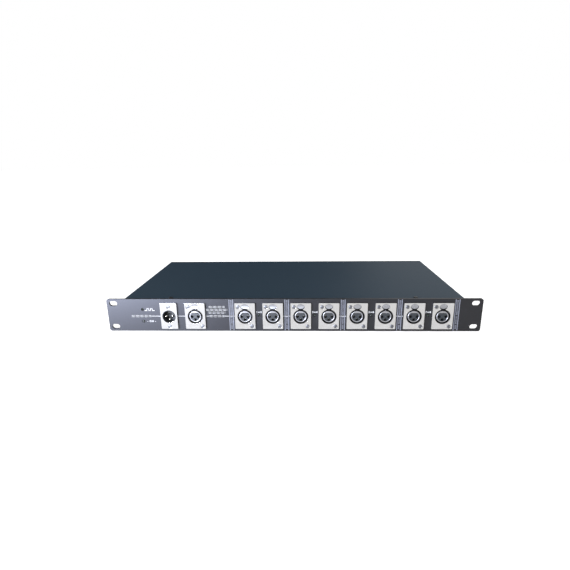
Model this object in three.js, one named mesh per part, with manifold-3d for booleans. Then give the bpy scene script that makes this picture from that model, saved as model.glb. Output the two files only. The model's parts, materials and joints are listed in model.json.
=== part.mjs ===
// A rack-mounting DMX splitter, one rack unit high: one input plug, one through socket and
// eight output sockets in four pairs, with its power supply and driver boards inside.
// Millimetres. X runs along the panel, Y from the front panel to the rear wall, Z is up.
import * as THREE from "three";
import { mergeVertices } from "three/addons/utils/BufferGeometryUtils.js";
import Module from "manifold-3d";

const wasm = await Module();
wasm.setup();

// Clearances, and how far a cutter runs past the face that it cuts
const seatGap = 0.3;
const runningGap = 0.25;
const pivotGap = 0.06;
const overrun = 1;

// Facets of round forms: of a full turn, and of one arc of an outline
const boreFacets = 16;
const pinFacets = 8;
const pivotFacets = 8;
const holeFacets = 6;
const scoopFacets = 40;
const ringFacets = 16;
const cornerFacets = 2;
const noseFacets = 2;
const slotFacets = 4;
const seatFacets = 10;
const housingFacets = 12;
const tabFacets = 12;

// Front panel
const panelWidth = 482.6;
const panelHeight = 44;
const panelThick = 3;
const panelCornerRadius = 3;
const panelBevel = 0.5;
const rackSlotInset = 8.75;
const rackSlotLength = 10.3;
const rackSlotHeight = 6.6;
const rackSlotSpacing = 31.75;
const earWidth = 21.3;

// Chassis tray and top cover, of folded sheet
const sheetThick = 1.2;
const bendRadius = 0.6;
const coverDrop = 1;
const chassisDepth = 208;
const coverLipHeight = 12;
const screwLipDepth = 11;
const coverScrewSpacing = 317;
const coverScrewInset = 4.7;
const coverScrewHole = 3.4;
const lipScrewHole = 2.6;

// Places along the panel, as shares of the chassis width, and heights on it
const inputPlaceShare = -0.3636;
const thruPlaceShare = -0.2852;
const firstOutputShare = -0.1375;
const outputPitchShare = 0.08182;
const lampPlaceShare = -0.4427;
const outputCount = 8;
const socketLineDrop = 1.4;
const lampLineDrop = 0.4;
const lampSpacing = 16.4;

// Flanges of the connectors
const flangeThick = 2;
const flangeHeight = 35.3;
const flangeRise = 0.7;
const flangeCornerRadius = 1.6;
const flangeBevel = 0.4;
const socketFlangeWidth = 26.2;
const inputFlangeWidth = 21.8;
const flangeScrewHole = 3.2;
const socketScrewSpacingX = 17.6;
const socketScrewSpacingZ = 26.4;
const inputScrewSpacing = 27;

// Female socket: shell, barrel and insert
const socketBore = 19.6;
const socketDepth = 13;
const barrelDiameter = 15.8;
const barrelRecess = 0.4;
const insertDiameter = 12.4;
const insertFlatHeight = 4.6;
const webThick = 1.6;
const shellWall = 1.8;
const insertFlangeDiameter = 19;
const insertFlangeThick = 2.6;

// Contacts, shared by the plug and the sockets
const contactCircle = 8.1;
const contactHole = 2.7;
const contactHoleDepth = 10;
const tailWidth = 1.4;

// Latch of a female socket
const tabWidth = 9.4;
const tabHeight = 6.3;
const tabRise = 13.75;
const tabThick = 1.6;
const tabRecess = 0.2;
const tabWindowWidth = 10.1;
const tabWindowHeight = 7.4;
const tabWindowRise = 13.4;
const scoopRadius = 9;
const scoopDepth = 0.5;
const notchWidth = 6;
const latchWall = 0.7;
const latchCavityWidth = 10.8;
const latchCavityTop = 17;
const latchCavityDepth = 10.4;
const pivotRise = 15.6;
const pivotDepth = 1.2;
const pivotPinDiameter = 1.4;
const knuckleDiameter = 2.4;
const latchArmWidth = 5;
const hookReach = 6.2;
const hookTipRise = 8.9;
const hookThick = 1.8;
const armThick = 1.9;

// Male input plug
const cupDiameter = 16.1;
const cupWall = 0.55;
const cupDepth = 12;
const cupFloorThick = 3;
const cupKeyWidth = 2.6;
const cupKeyHeight = 0.9;
const inputShellDepth = 11;
const pinDiameter = 2.3;
const pinRecess = 1.9;
const pinShoulderDiameter = 3.6;
const pinShoulderThick = 1.2;

// Indicator lamps
const lampDiameter = 3;
const lampHole = 3.5;
const lampRimDiameter = 4;
const lampRimThick = 1;
const lampLeadWidth = 0.6;
const lampLeadSpacing = 2.54;

// Circuit boards
const boardThick = 1.6;
const tailLength = 6.2;
const connectorBoardMargin = 7;
const connectorBoardHeight = 33;
const mainBoardDepth = 104;
const mainBoardSetback = 14;
const mainBoardInset = 20;
const toroidClearance = 45.5;
const standoffHeight = 6;
const standoffDiameter = 6;
const standoffInset = 6;
const standoffHole = 2.4;
const chipLength = 9.6;
const chipWidth = 6.4;
const chipHeight = 3.6;
const isolatorLength = 20;
const isolatorWidth = 14;
const isolatorHeight = 10;
const capacitorDiameter = 13;
const capacitorHeight = 22;
const heatsinkWidth = 24;
const heatsinkHeight = 20;
const heatsinkBase = 2;
const heatsinkFinDepth = 8;
const heatsinkFinThick = 1.2;
const heatsinkFinCount = 5;
const terminalBlockWidth = 10;
const terminalBlockLength = 16;
const terminalBlockHeight = 10;

// Places on the main board, as shares of its width and its depth
const driverRowShares = [0.12, 0.9];
const driverDepthShares = [0.2, 0.42];
const isolatorRowShares = [0.15, 0.6];
const isolatorDepthShare = 0.68;
const capacitorShares = [0.72, 0.8];
const capacitorDepthShare = 0.82;
const heatsinkShare = 0.91;
const terminalBlockShare = 0.97;
const terminalBlockDepthShare = 0.45;

// Ribbon between the boards
const ribbonWidth = 30;
const ribbonThick = 1;
const ribbonReach = 9;
const ribbonHeaderHeight = 6;

// Toroidal transformer
const toroidDiameter = 70;
const toroidHeight = 29;
const toroidHole = 24;
const toroidEdgeRadius = 7;
const toroidSetback = 108;
const toroidPlaceShare = 0.3;
const washerDiameter = 44;
const washerThick = 1.5;
const washerDish = 1.5;
const boltDiameter = 5;
const boltHeadDiameter = 9;
const boltHeadHeight = 3.4;

// Mains inlet with its fuse drawer, on the rear wall
const inletPlaceShare = 0.392;
const inletFlangeWidth = 50;
const inletFlangeHeight = 31;
const inletFlangeThick = 2.4;
const inletBodyWidth = 28;
const inletBodyHeight = 27.4;
const inletBodyDepth = 23;
const inletSocketWidth = 24.2;
const inletSocketHeight = 16.2;
const inletSocketChamfer = 4.2;
const inletSocketDepth = 16;
const inletScrewSpacing = 40;
const inletScrewHole = 3.4;
const bladeWidth = 4;
const bladeThick = 2;
const bladeSpacing = 14;
const earthBladeRise = 4;
const bladeLength = 13;
const bladeTabLength = 7;
const drawerWidth = 22.6;
const drawerHeight = 7;
const drawerDepth = 17;
const drawerFaceThick = 1.6;
const drawerWall = 0.9;
const drawerFingerWidth = 9;
const drawerFingerDepth = 0.8;
const drawerFingerHeight = 2.6;
const fuseDiameter = 5;
const fuseLength = 20;
const fuseCapLength = 5.5;
const fuseCapWall = 0.25;

// Rocker switch, on the rear wall
const switchPlaceShare = 0.285;
const bezelWidth = 15;
const bezelHeight = 23;
const bezelThick = 2;
const bezelCornerRadius = 1.2;
const switchBodyWidth = 12.8;
const switchBodyHeight = 21;
const switchBodyDepth = 15;
const rockerWidth = 10.2;
const rockerRadius = 8.8;
const rockerFaceHeight = 4.4;
const rockerFaceRadius = 22;
const rockerBelow = 2.5;
const rockerPivotInset = 1;
const rockerTrunnionDiameter = 2;
const rockerTrunnionLength = 0.7;
const rockerTiltDegrees = 10;
const terminalWidth = 4.8;
const terminalThick = 0.8;
const terminalLength = 8;
const terminalSpacing = 11;

// Wires inside the case
const wireDiameter = 2.4;
const wireFacets = 6;
const wireStepCount = 9;
const studDiameter = 4;
const studHeight = 8;
const studSetback = 172;

// Worked-out places, in the panel's own frame: Y from its front face, Z from its lower edge
const chassisWidth = panelWidth - 2 * earWidth;
const socketLine = panelHeight / 2 - socketLineDrop;
const lampLine = panelHeight / 2 - lampLineDrop;
const inputX = inputPlaceShare * chassisWidth;
const thruX = thruPlaceShare * chassisWidth;
const outputPitch = outputPitchShare * chassisWidth;
const outputXs = Array.from(
  { length: outputCount },
  (_, i) => firstOutputShare * chassisWidth + i * outputPitch,
);
const lampX = lampPlaceShare * chassisWidth;
const flangeBack = -seatGap;
const flangeFront = flangeBack - flangeThick;
const socketFloor = flangeFront + socketDepth;
const shellRear = socketFloor + webThick;
const insertRear = shellRear + seatGap + insertFlangeThick;
const tailEnd = insertRear + tailLength;
const connectorBoardFront = tailEnd + seatGap;
const connectorBoardBack = connectorBoardFront + boardThick;
const chassisFront = panelThick + seatGap;
const chassisRear = chassisFront + chassisDepth;
const coverTop = panelHeight - coverDrop;
const coverUnder = coverTop - sheetThick;
const trayTop = coverUnder - seatGap;
const trayWidth = chassisWidth - 2 * (sheetThick + seatGap);
const floorTop = sheetThick;
const rearWallFront = chassisRear - sheetThick;
const housingRadius = socketBore / 2 + shellWall;
const cupRadius = cupDiameter / 2;
const cupOuterRadius = cupRadius + cupWall;
const cupFloor = flangeFront + cupDepth;
const inputShellRadius = cupOuterRadius + runningGap + shellWall;
const latchHousingWidth = latchCavityWidth + 2 * latchWall;
const latchHousingTop = latchCavityTop + latchWall;
const latchCavityBottom = socketBore / 2 + 2 * runningGap;
const toroidX = toroidPlaceShare * chassisWidth;
const mainBoardLeft = -trayWidth / 2 + mainBoardInset;
const mainBoardWidth = toroidX - toroidDiameter / 2 - toroidClearance - mainBoardLeft;
const mainBoardFront = connectorBoardBack + mainBoardSetback;
const mainBoardUnder = floorTop + standoffHeight + seatGap;
const mainBoardTop = mainBoardUnder + boardThick;
const rearLine = coverTop / 2;
const inletX = inletPlaceShare * chassisWidth;
const switchX = switchPlaceShare * chassisWidth;

// Finishes
const finishes = {
  panelPaint: [0x2b2d33, 0.4, 0.3],
  casePaint: [0x22282e, 0.5, 0.2],
  nickel: [0xc9c6c3, 0.3, 0.9],
  blackPlastic: [0x17181a, 0.5, 0],
  contactSilver: [0xd9d7d0, 0.25, 1],
  lampLens: [0x3f4a3c, 0.2, 0],
  boardLaminate: [0x1f5a36, 0.6, 0],
  windingTape: [0xb9862a, 0.5, 0],
  zincSteel: [0xaab0b4, 0.4, 0.9],
  fuseGlass: [0xd8dcd8, 0.15, 0],
  brownInsulation: [0x5a3216, 0.6, 0],
  blueInsulation: [0x1c5fa8, 0.6, 0],
  greenInsulation: [0x3d8f2c, 0.6, 0],
  greyInsulation: [0x8f9296, 0.6, 0],
};
const materials = Object.fromEntries(
  Object.entries(finishes).map(([name, [color, roughness, metalness]]) => [
    name,
    new THREE.MeshStandardMaterial({ name, color, roughness, metalness }),
  ]),
);

// A closed three.js geometry as a solid that can be cut and joined
function solid(geometry) {
  geometry.deleteAttribute("normal");
  geometry.deleteAttribute("uv");
  const merged = mergeVertices(geometry);
  const corners = merged.index.array;
  const kept = [];
  for (let i = 0; i < corners.length; i += 3) {
    const [a, b, c] = corners.slice(i, i + 3);
    if (a !== b && b !== c && c !== a) kept.push(a, b, c);
  }
  return new wasm.Manifold(
    new wasm.Mesh({
      numProp: 3,
      vertProperties: merged.attributes.position.array,
      triVerts: new Uint32Array(kept),
    }),
  );
}

// A solid back as a flat-shaded three.js geometry
function geometryOf(body) {
  const { vertProperties, triVerts } = body.getMesh();
  const indexed = new THREE.BufferGeometry();
  indexed.setAttribute("position", new THREE.BufferAttribute(vertProperties, 3));
  indexed.setIndex(new THREE.BufferAttribute(triVerts, 1));
  const flat = indexed.toNonIndexed();
  flat.computeVertexNormals();
  return flat;
}

// A block between two limits on each axis
function block([x0, x1], [y0, y1], [z0, z1]) {
  const geometry = new THREE.BoxGeometry(x1 - x0, y1 - y0, z1 - z0);
  geometry.translate((x0 + x1) / 2, (y0 + y1) / 2, (z0 + z1) / 2);
  return solid(geometry);
}

// Limits that reach equally to both sides of a middle
const across = (size, middle = 0) => [middle - size / 2, middle + size / 2];

// A round rod along Y, X or Z
function rodY(radius, front, back, facets, x = 0, z = 0) {
  const geometry = new THREE.CylinderGeometry(radius, radius, back - front, facets);
  geometry.translate(x, (front + back) / 2, z);
  return solid(geometry);
}

function rodX(radius, left, right, facets, y = 0, z = 0) {
  const geometry = new THREE.CylinderGeometry(radius, radius, right - left, facets);
  geometry.rotateZ(Math.PI / 2);
  geometry.translate((left + right) / 2, y, z);
  return solid(geometry);
}

function rodZ(radius, bottom, top, facets, x = 0, y = 0) {
  const geometry = new THREE.CylinderGeometry(radius, radius, top - bottom, facets);
  geometry.rotateX(Math.PI / 2);
  geometry.translate(x, y, (bottom + top) / 2);
  return solid(geometry);
}

// A hole across X in which a pin of the given radius turns clear of every facet
function pivotHole(pinRadius, reach, y, z) {
  const radius = (pinRadius + pivotGap) / Math.cos(Math.PI / pivotFacets);
  return rodX(radius, -reach, reach, pivotFacets, y, z);
}

// An outline drawn in X and Z, from one depth to another; three.js doubles its arcs' segments
function plateY(outline, front, back, facets = cornerFacets, bevel = 0) {
  const geometry = new THREE.ExtrudeGeometry(outline, {
    depth: back - front - 2 * bevel,
    curveSegments: facets / 2,
    bevelEnabled: bevel > 0,
    bevelThickness: bevel,
    bevelSize: bevel,
    bevelOffset: -bevel,
    bevelSegments: 1,
  });
  geometry.rotateX(Math.PI / 2);
  geometry.translate(0, back - bevel, 0);
  return solid(geometry);
}

// An outline drawn in Y and Z, from one side to the other
function plateX(outline, left, right, facets = cornerFacets) {
  const geometry = new THREE.ExtrudeGeometry(outline, {
    depth: right - left,
    curveSegments: facets / 2,
    bevelEnabled: false,
  });
  const turn = new THREE.Matrix4().makeBasis(
    new THREE.Vector3(0, 1, 0),
    new THREE.Vector3(0, 0, 1),
    new THREE.Vector3(1, 0, 0),
  );
  geometry.applyMatrix4(turn);
  geometry.translate(left, 0, 0);
  return solid(geometry);
}

// A profile of [radius, place] points, turned about Y or Z; it starts and ends on the axis
function turnedY(profile, facets) {
  const points = profile.map(([radius, place]) => new THREE.Vector2(radius, place));
  return solid(new THREE.LatheGeometry(points, facets));
}

function turnedZ(profile, facets) {
  const points = profile.map(([radius, place]) => new THREE.Vector2(radius, place));
  const geometry = new THREE.LatheGeometry(points, facets);
  geometry.rotateX(Math.PI / 2);
  return solid(geometry);
}

// Outlines
function rounded(width, height, radius, x = 0, z = 0) {
  const outline = new THREE.Shape();
  const [left, right] = across(width, x);
  const [low, high] = across(height, z);
  outline.moveTo(left + radius, low);
  outline.lineTo(right - radius, low);
  outline.absarc(right - radius, low + radius, radius, -Math.PI / 2, 0);
  outline.lineTo(right, high - radius);
  outline.absarc(right - radius, high - radius, radius, 0, Math.PI / 2);
  outline.lineTo(left + radius, high);
  outline.absarc(left + radius, high - radius, radius, Math.PI / 2, Math.PI);
  outline.lineTo(left, low + radius);
  outline.absarc(left + radius, low + radius, radius, Math.PI, 1.5 * Math.PI);
  return outline;
}

function ellipse(width, height, z) {
  const outline = new THREE.Shape();
  outline.absellipse(0, z, width / 2, height / 2, 0, 2 * Math.PI);
  return outline;
}

function polygon(points) {
  return new THREE.Shape(points.map(([u, v]) => new THREE.Vector2(u, v)));
}

// A rectangle whose two lower corners are round, as a folded pan has in section
function basin([left, right], [low, high], bend) {
  const outline = new THREE.Shape();
  outline.moveTo(left, high);
  outline.lineTo(left, low + bend);
  outline.absarc(left + bend, low + bend, bend, Math.PI, 1.5 * Math.PI);
  outline.lineTo(right - bend, low);
  outline.absarc(right - bend, low + bend, bend, 1.5 * Math.PI, 2 * Math.PI);
  outline.lineTo(right, high);
  return outline;
}

// A circle that opens at its top into a straight-sided shaft
function archway(radius, width, top) {
  const outline = new THREE.Shape();
  const corner = Math.acos(width / 2 / radius);
  outline.absarc(0, 0, radius, Math.PI - corner, 2 * Math.PI + corner);
  outline.lineTo(width / 2, top);
  outline.lineTo(-width / 2, top);
  return outline;
}

// The same outline, wider by a clearance all round
function widened(outline, clearance, facets) {
  const points = outline.getPoints(facets / 2).map(({ x, y }) => [x, y]);
  const [ring] = new wasm.CrossSection([points]).offset(clearance, "Miter").toPolygons();
  return polygon(ring);
}

// A circle with a flat across its top, as the insert and its seat have
function flattedCircle(radius, flat) {
  const outline = new THREE.Shape();
  const corner = Math.asin(flat / radius);
  outline.absarc(0, 0, radius, Math.PI - corner, 2 * Math.PI + corner);
  return outline;
}

const joined = (solids) => solids.reduce((whole, piece) => whole.add(piece));
const cut = (body, cutters) => cutters.reduce((rest, cutter) => rest.subtract(cutter), body);
const moved = (body, x, y, z) => body.translate([x, y, z]);

// Places of the three contacts round a connector's axis: one, two and three
const contactPlaces = [Math.PI, 0, 1.5 * Math.PI].map((angle) => [
  (contactCircle / 2) * Math.cos(angle),
  (contactCircle / 2) * Math.sin(angle),
]);

// The outline of a socket behind its flange: round, with the latch's pocket above
const socketHousing = archway(housingRadius, latchHousingWidth, latchHousingTop);

function frontPanel() {
  const outline = rounded(panelWidth, panelHeight, panelCornerRadius, 0, panelHeight / 2);
  const plate = plateY(outline, 0, panelThick, cornerFacets, panelBevel);
  const front = -overrun;
  const back = panelThick + overrun;
  const cutters = [];
  for (const side of [-1, 1]) {
    for (const level of [-1, 1]) {
      const x = side * (panelWidth / 2 - rackSlotInset);
      const z = panelHeight / 2 + (level * rackSlotSpacing) / 2;
      const slot = rounded(rackSlotLength, rackSlotHeight, rackSlotHeight / 2, x, z);
      cutters.push(plateY(slot, front, back, slotFacets));
    }
  }
  const inputHole = rodY(inputShellRadius + seatGap, front, back, boreFacets);
  cutters.push(moved(inputHole, inputX, 0, socketLine));
  const socketHole = plateY(widened(socketHousing, seatGap, housingFacets), front, back);
  for (const x of [thruX, ...outputXs]) cutters.push(moved(socketHole, x, 0, socketLine));
  for (const [x, z] of lampPlaces) {
    cutters.push(rodY(lampHole / 2, front, back, pinFacets, x, z));
  }
  return cut(plate, cutters);
}

// A pan's body, bent round along the four edges of its floor
function pan(width, depth, height, bend) {
  const lengthwise = plateY(basin(across(width), height, bend), ...depth);
  const crosswise = plateX(basin(depth, height, bend), ...across(width));
  return lengthwise.intersect(crosswise);
}

// The tray: floor, four walls, lips for the cover's screws, standoffs and the earth stud
function chassisTray() {
  const depth = [chassisFront, chassisRear];
  const outside = pan(trayWidth, depth, [0, trayTop], bendRadius + sheetThick);
  const insideDepth = [chassisFront + sheetThick, rearWallFront];
  const insideHeight = [floorTop, trayTop + overrun];
  const inside = pan(trayWidth - 2 * sheetThick, insideDepth, insideHeight, bendRadius);
  const shell = outside.subtract(inside);
  const lipUnder = trayTop - sheetThick;
  const lipWidth = 4 * screwLipDepth;
  const additions = [];
  const holes = [];
  for (const x of across(coverScrewSpacing)) {
    const front = [chassisFront, chassisFront + screwLipDepth];
    const rear = [chassisRear - screwLipDepth, chassisRear];
    additions.push(block(across(lipWidth, x), front, [lipUnder, trayTop]));
    additions.push(block(across(lipWidth, x), rear, [lipUnder, trayTop]));
    for (const y of coverScrewYs) {
      const low = lipUnder - overrun;
      holes.push(rodZ(lipScrewHole / 2, low, trayTop + overrun, holeFacets, x, y));
    }
  }
  for (const [x, y] of standoffPlaces) {
    const post = [floorTop - sheetThick / 2, floorTop + standoffHeight];
    additions.push(rodZ(standoffDiameter / 2, ...post, holeFacets, x, y));
    holes.push(rodZ(standoffHole / 2, floorTop, post[1] + overrun, holeFacets, x, y));
  }
  const studTop = floorTop + studHeight;
  additions.push(rodZ(studDiameter / 2, floorTop - sheetThick / 2, studTop, holeFacets, ...studPlace));

  // The front wall stands clear of each lamp and connector
  const wallDepth = [chassisFront - overrun, chassisFront + sheetThick + overrun];
  const windowLow = socketLine - housingRadius - overrun;
  const windowHigh = socketLine + latchHousingTop + runningGap + seatGap;
  const halfSocket = housingRadius + overrun;
  const windows = [[inputX - halfSocket, thruX + halfSocket]];
  for (let i = 0; i < outputCount; i += 2) {
    windows.push([outputXs[i] - halfSocket, outputXs[i + 1] + halfSocket]);
  }
  windows.push(across(2 * lampRimDiameter, lampX));
  for (const window of windows) holes.push(block(window, wallDepth, [windowLow, windowHigh]));

  // The rear wall has the openings of the inlet and the switch
  const rearDepth = [rearWallFront - overrun, chassisRear + overrun];
  const inletOpening = across(inletBodyWidth + 2 * seatGap, inletX);
  const switchOpening = across(switchBodyWidth + 2 * seatGap, switchX);
  holes.push(block(inletOpening, rearDepth, across(inletBodyHeight + 2 * seatGap, rearLine)));
  holes.push(block(switchOpening, rearDepth, across(switchBodyHeight + 2 * seatGap, rearLine)));
  return cut(joined([shell, ...additions]), holes);
}

// The cover: one sheet, folded down along both sides; its section is drawn upside down
function topCover() {
  const insideWidth = chassisWidth - 2 * sheetThick;
  const lipEnd = coverLipHeight - coverTop;
  const outer = basin(across(chassisWidth), [-coverTop, lipEnd], bendRadius + sheetThick);
  const inner = basin(across(insideWidth), [-coverUnder, lipEnd + overrun], bendRadius);
  const outside = plateY(outer, chassisFront, chassisRear);
  const inside = plateY(inner, chassisFront - overrun, chassisRear + overrun);
  const sheet = outside.subtract(inside).mirror([0, 0, 1]);
  const holes = [];
  for (const x of across(coverScrewSpacing)) {
    for (const y of coverScrewYs) {
      const [low, high] = [coverUnder - overrun, coverTop + overrun];
      holes.push(rodZ(coverScrewHole / 2, low, high, holeFacets, x, y));
    }
  }
  return cut(sheet, holes);
}

// A flange, drawn round the connector's axis, with a chamfer round its front and its screw holes
function flange(width, screwPlaces) {
  const outline = rounded(width, flangeHeight, flangeCornerRadius, 0, flangeRise);
  const stock = plateY(outline, flangeFront, flangeBack + flangeBevel, cornerFacets, flangeBevel);
  const plate = stock.trimByPlane([0, -1, 0], -flangeBack);
  const holes = screwPlaces.map(([x, z]) =>
    rodY(flangeScrewHole / 2, flangeFront - overrun, flangeBack + overrun, holeFacets, x, z),
  );
  return cut(plate, holes);
}

// A socket's die-cast shell: an inner barrel stands in the bore, and the latch has its own pocket
function socketShell() {
  const plate = flange(socketFlangeWidth, [
    [-socketScrewSpacingX / 2, socketScrewSpacingZ / 2],
    [socketScrewSpacingX / 2, -socketScrewSpacingZ / 2],
  ]);
  const body = plate.add(plateY(socketHousing, flangeBack, shellRear, housingFacets));
  const cavityRear = flangeBack + latchCavityDepth;
  const bore = rodY(socketBore / 2, flangeFront - overrun, socketFloor, boreFacets);
  const barrelFront = flangeFront + barrelRecess;
  const barrel = rodY(barrelDiameter / 2, barrelFront, socketFloor + overrun, boreFacets);
  const seat = flattedCircle(insertDiameter / 2, insertFlatHeight);
  const insertSeat = plateY(seat, flangeFront - overrun, shellRear + overrun, seatFacets);
  const window = ellipse(tabWindowWidth, tabWindowHeight, tabWindowRise);
  const tabWindow = plateY(window, flangeFront - overrun, flangeBack, tabFacets);
  const cavity = block(
    across(latchCavityWidth),
    [flangeBack, cavityRear],
    [latchCavityBottom, latchCavityTop],
  );
  const notch = block(
    across(notchWidth),
    [flangeFront - overrun, cavityRear],
    [barrelDiameter / 2 + seatGap, latchCavityBottom + overrun],
  );
  const pinReach = latchHousingWidth / 2 + overrun;
  const pinHole = pivotHole(pivotPinDiameter / 2, pinReach, pivotDepth, pivotRise);
  return cut(body, [
    bore.subtract(barrel),
    insertSeat,
    tabWindow,
    cavity,
    notch,
    pinHole,
  ]);
}

// A socket's insert: its nose fills the barrel, and three contact tails stand out behind
function socketInsert() {
  const nose = flattedCircle(insertDiameter / 2 - runningGap, insertFlatHeight - runningGap);
  const noseFront = flangeFront + barrelRecess;
  const flangeStart = shellRear + seatGap;
  const body = joined([
    plateY(nose, noseFront, flangeStart + overrun, seatFacets),
    rodY(insertFlangeDiameter / 2, flangeStart, insertRear, ringFacets),
    ...contactPlaces.map(([x, z]) =>
      block(across(tailWidth, x), [insertRear - overrun, tailEnd], across(tailWidth, z)),
    ),
  ]);
  const holes = contactPlaces.map(([x, z]) =>
    rodY(contactHole / 2, noseFront - overrun, noseFront + contactHoleDepth, holeFacets, x, z),
  );
  return cut(body, holes);
}

// A latch, drawn in Y and Z round its pivot: a thumb tab in front, a hook in the bore behind
function socketLatch() {
  const tabFront = flangeFront + tabRecess;
  const tabBack = tabFront + tabThick;
  const tab = plateY(ellipse(tabWidth, tabHeight, tabRise), tabFront, tabBack, tabFacets);
  const scoopMiddle = tabFront + scoopDepth - scoopRadius;
  const scoop = rodX(scoopRadius, -tabWidth, tabWidth, scoopFacets, scoopMiddle, tabRise);
  const hookFront = hookReach - hookThick / 2;
  const hookBack = hookReach + hookThick / 2;
  const armLow = (tabRise + hookTipRise) / 2 + armThick / 2;
  const arm = polygon([
    [tabBack - tabThick / 2, tabRise - tabHeight / 4],
    [hookFront, armLow],
    [hookFront, hookTipRise + hookThick / 2],
    [hookReach, hookTipRise],
    [hookBack, hookTipRise + hookThick / 2],
    [hookBack, armLow + armThick / 2],
    [pivotDepth + armThick / 2, pivotRise],
    [tabBack - tabThick / 2, pivotRise],
  ]);
  const knuckleReach = latchCavityWidth / 2 - 2 * runningGap;
  const pinReach = latchHousingWidth / 2;
  return joined([
    tab.subtract(scoop),
    plateX(arm, ...across(latchArmWidth)),
    rodX(knuckleDiameter / 2, -knuckleReach, knuckleReach, pinFacets, pivotDepth, pivotRise),
    rodX(pivotPinDiameter / 2, -pinReach, pinReach, pivotFacets, pivotDepth, pivotRise),
  ]);
}

function inputShell() {
  const plate = flange(inputFlangeWidth, [
    [0, inputScrewSpacing / 2],
    [0, -inputScrewSpacing / 2],
  ]);
  const tubeRear = flangeFront + inputShellDepth;
  const tube = rodY(inputShellRadius, flangeBack, tubeRear, boreFacets);
  const bore = rodY(
    cupOuterRadius + runningGap,
    flangeFront - overrun,
    tubeRear + overrun,
    boreFacets,
  );
  return plate.add(tube).subtract(bore);
}

// The plug's insert: a cup round the pins, with the key along the top of its wall
function inputInsert() {
  const back = cupFloor + cupFloorThick;
  const shoulderFront = flangeFront + inputShellDepth + seatGap;
  const cup = rodY(cupOuterRadius, flangeFront, back, boreFacets);
  const shoulder = rodY(inputShellRadius, shoulderFront, back, boreFacets);
  const hollow = rodY(cupRadius, flangeFront - overrun, cupFloor, boreFacets);
  const key = block(
    across(cupKeyWidth),
    [flangeFront, cupFloor + overrun],
    [cupRadius - cupKeyHeight, cupRadius + cupWall / 2],
  );
  const holes = contactPlaces.map(([x, z]) =>
    rodY(pinDiameter / 2 + runningGap, cupFloor - overrun, back + overrun, pinFacets, x, z),
  );
  return cut(joined([cup.add(shoulder).subtract(hollow), key]), holes);
}

// The profile of a round nose, from its tip to its full radius
function noseProfile(radius, tip) {
  const angles = Array.from({ length: noseFacets + 1 }, (_, i) => ((Math.PI / 2) * i) / noseFacets);
  return angles.map((angle) => [radius * Math.sin(angle), tip + radius * (1 - Math.cos(angle))]);
}

// A pin of the plug: a round nose, a shoulder behind the insert, and a tail to the board
function inputPin() {
  const radius = pinDiameter / 2;
  const tip = flangeFront + pinRecess;
  const shoulder = cupFloor + cupFloorThick + seatGap;
  const tailRadius = tailWidth / 2;
  return turnedY(
    [
      ...noseProfile(radius, tip),
      [radius, shoulder],
      [pinShoulderDiameter / 2, shoulder],
      [pinShoulderDiameter / 2, shoulder + pinShoulderThick],
      [tailRadius, shoulder + pinShoulderThick],
      [tailRadius, tailEnd],
      [0, tailEnd],
    ],
    pinFacets,
  );
}

// An indicator lamp: a domed lens in its hole, and two leads back to the board
function lamp() {
  const radius = lampDiameter / 2;
  const rimFront = chassisFront;
  const rimBack = rimFront + lampRimThick;
  const lens = turnedY(
    [
      ...noseProfile(radius, 0),
      [radius, rimFront],
      [lampRimDiameter / 2, rimFront],
      [lampRimDiameter / 2, rimBack],
      [0, rimBack],
    ],
    pinFacets,
  );
  const leads = across(lampLeadSpacing).map((x) =>
    block(across(lampLeadWidth, x), [rimBack - lampRimThick / 2, tailEnd], across(lampLeadWidth)),
  );
  return joined([lens, ...leads]);
}

// The board that the connectors and lamps are soldered to
function connectorBoard() {
  const left = lampX - connectorBoardMargin;
  const right = outputXs[outputCount - 1] + housingRadius + overrun;
  const depth = [connectorBoardFront, connectorBoardBack];
  return block([left, right], depth, across(connectorBoardHeight, rearLine));
}

// A row of alike parts on the main board, spread over a share of its width
function boardRow(count, [startShare, endShare = startShare], depthShare, size) {
  return Array.from({ length: count }, (_, i) => {
    const share = startShare + ((endShare - startShare) * i) / Math.max(count - 1, 1);
    const x = mainBoardLeft + share * mainBoardWidth;
    const y = mainBoardFront + depthShare * mainBoardDepth;
    const height = [mainBoardTop - boardThick / 2, mainBoardTop + size[2]];
    return block(across(size[0], x), across(size[1], y), height);
  });
}

// The heatsink of the voltage regulators: a plate with upright fins
function heatsink(x, y) {
  const height = [mainBoardTop - boardThick / 2, mainBoardTop + heatsinkHeight];
  const base = block(across(heatsinkWidth, x), across(heatsinkBase, y), height);
  const pitch = (heatsinkWidth - heatsinkFinThick) / (heatsinkFinCount - 1);
  const fins = Array.from({ length: heatsinkFinCount }, (_, i) => {
    const finX = x - heatsinkWidth / 2 + heatsinkFinThick / 2 + i * pitch;
    return block(across(heatsinkFinThick, finX), [y, y + heatsinkFinDepth], height);
  });
  return joined([base, ...fins]);
}

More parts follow.
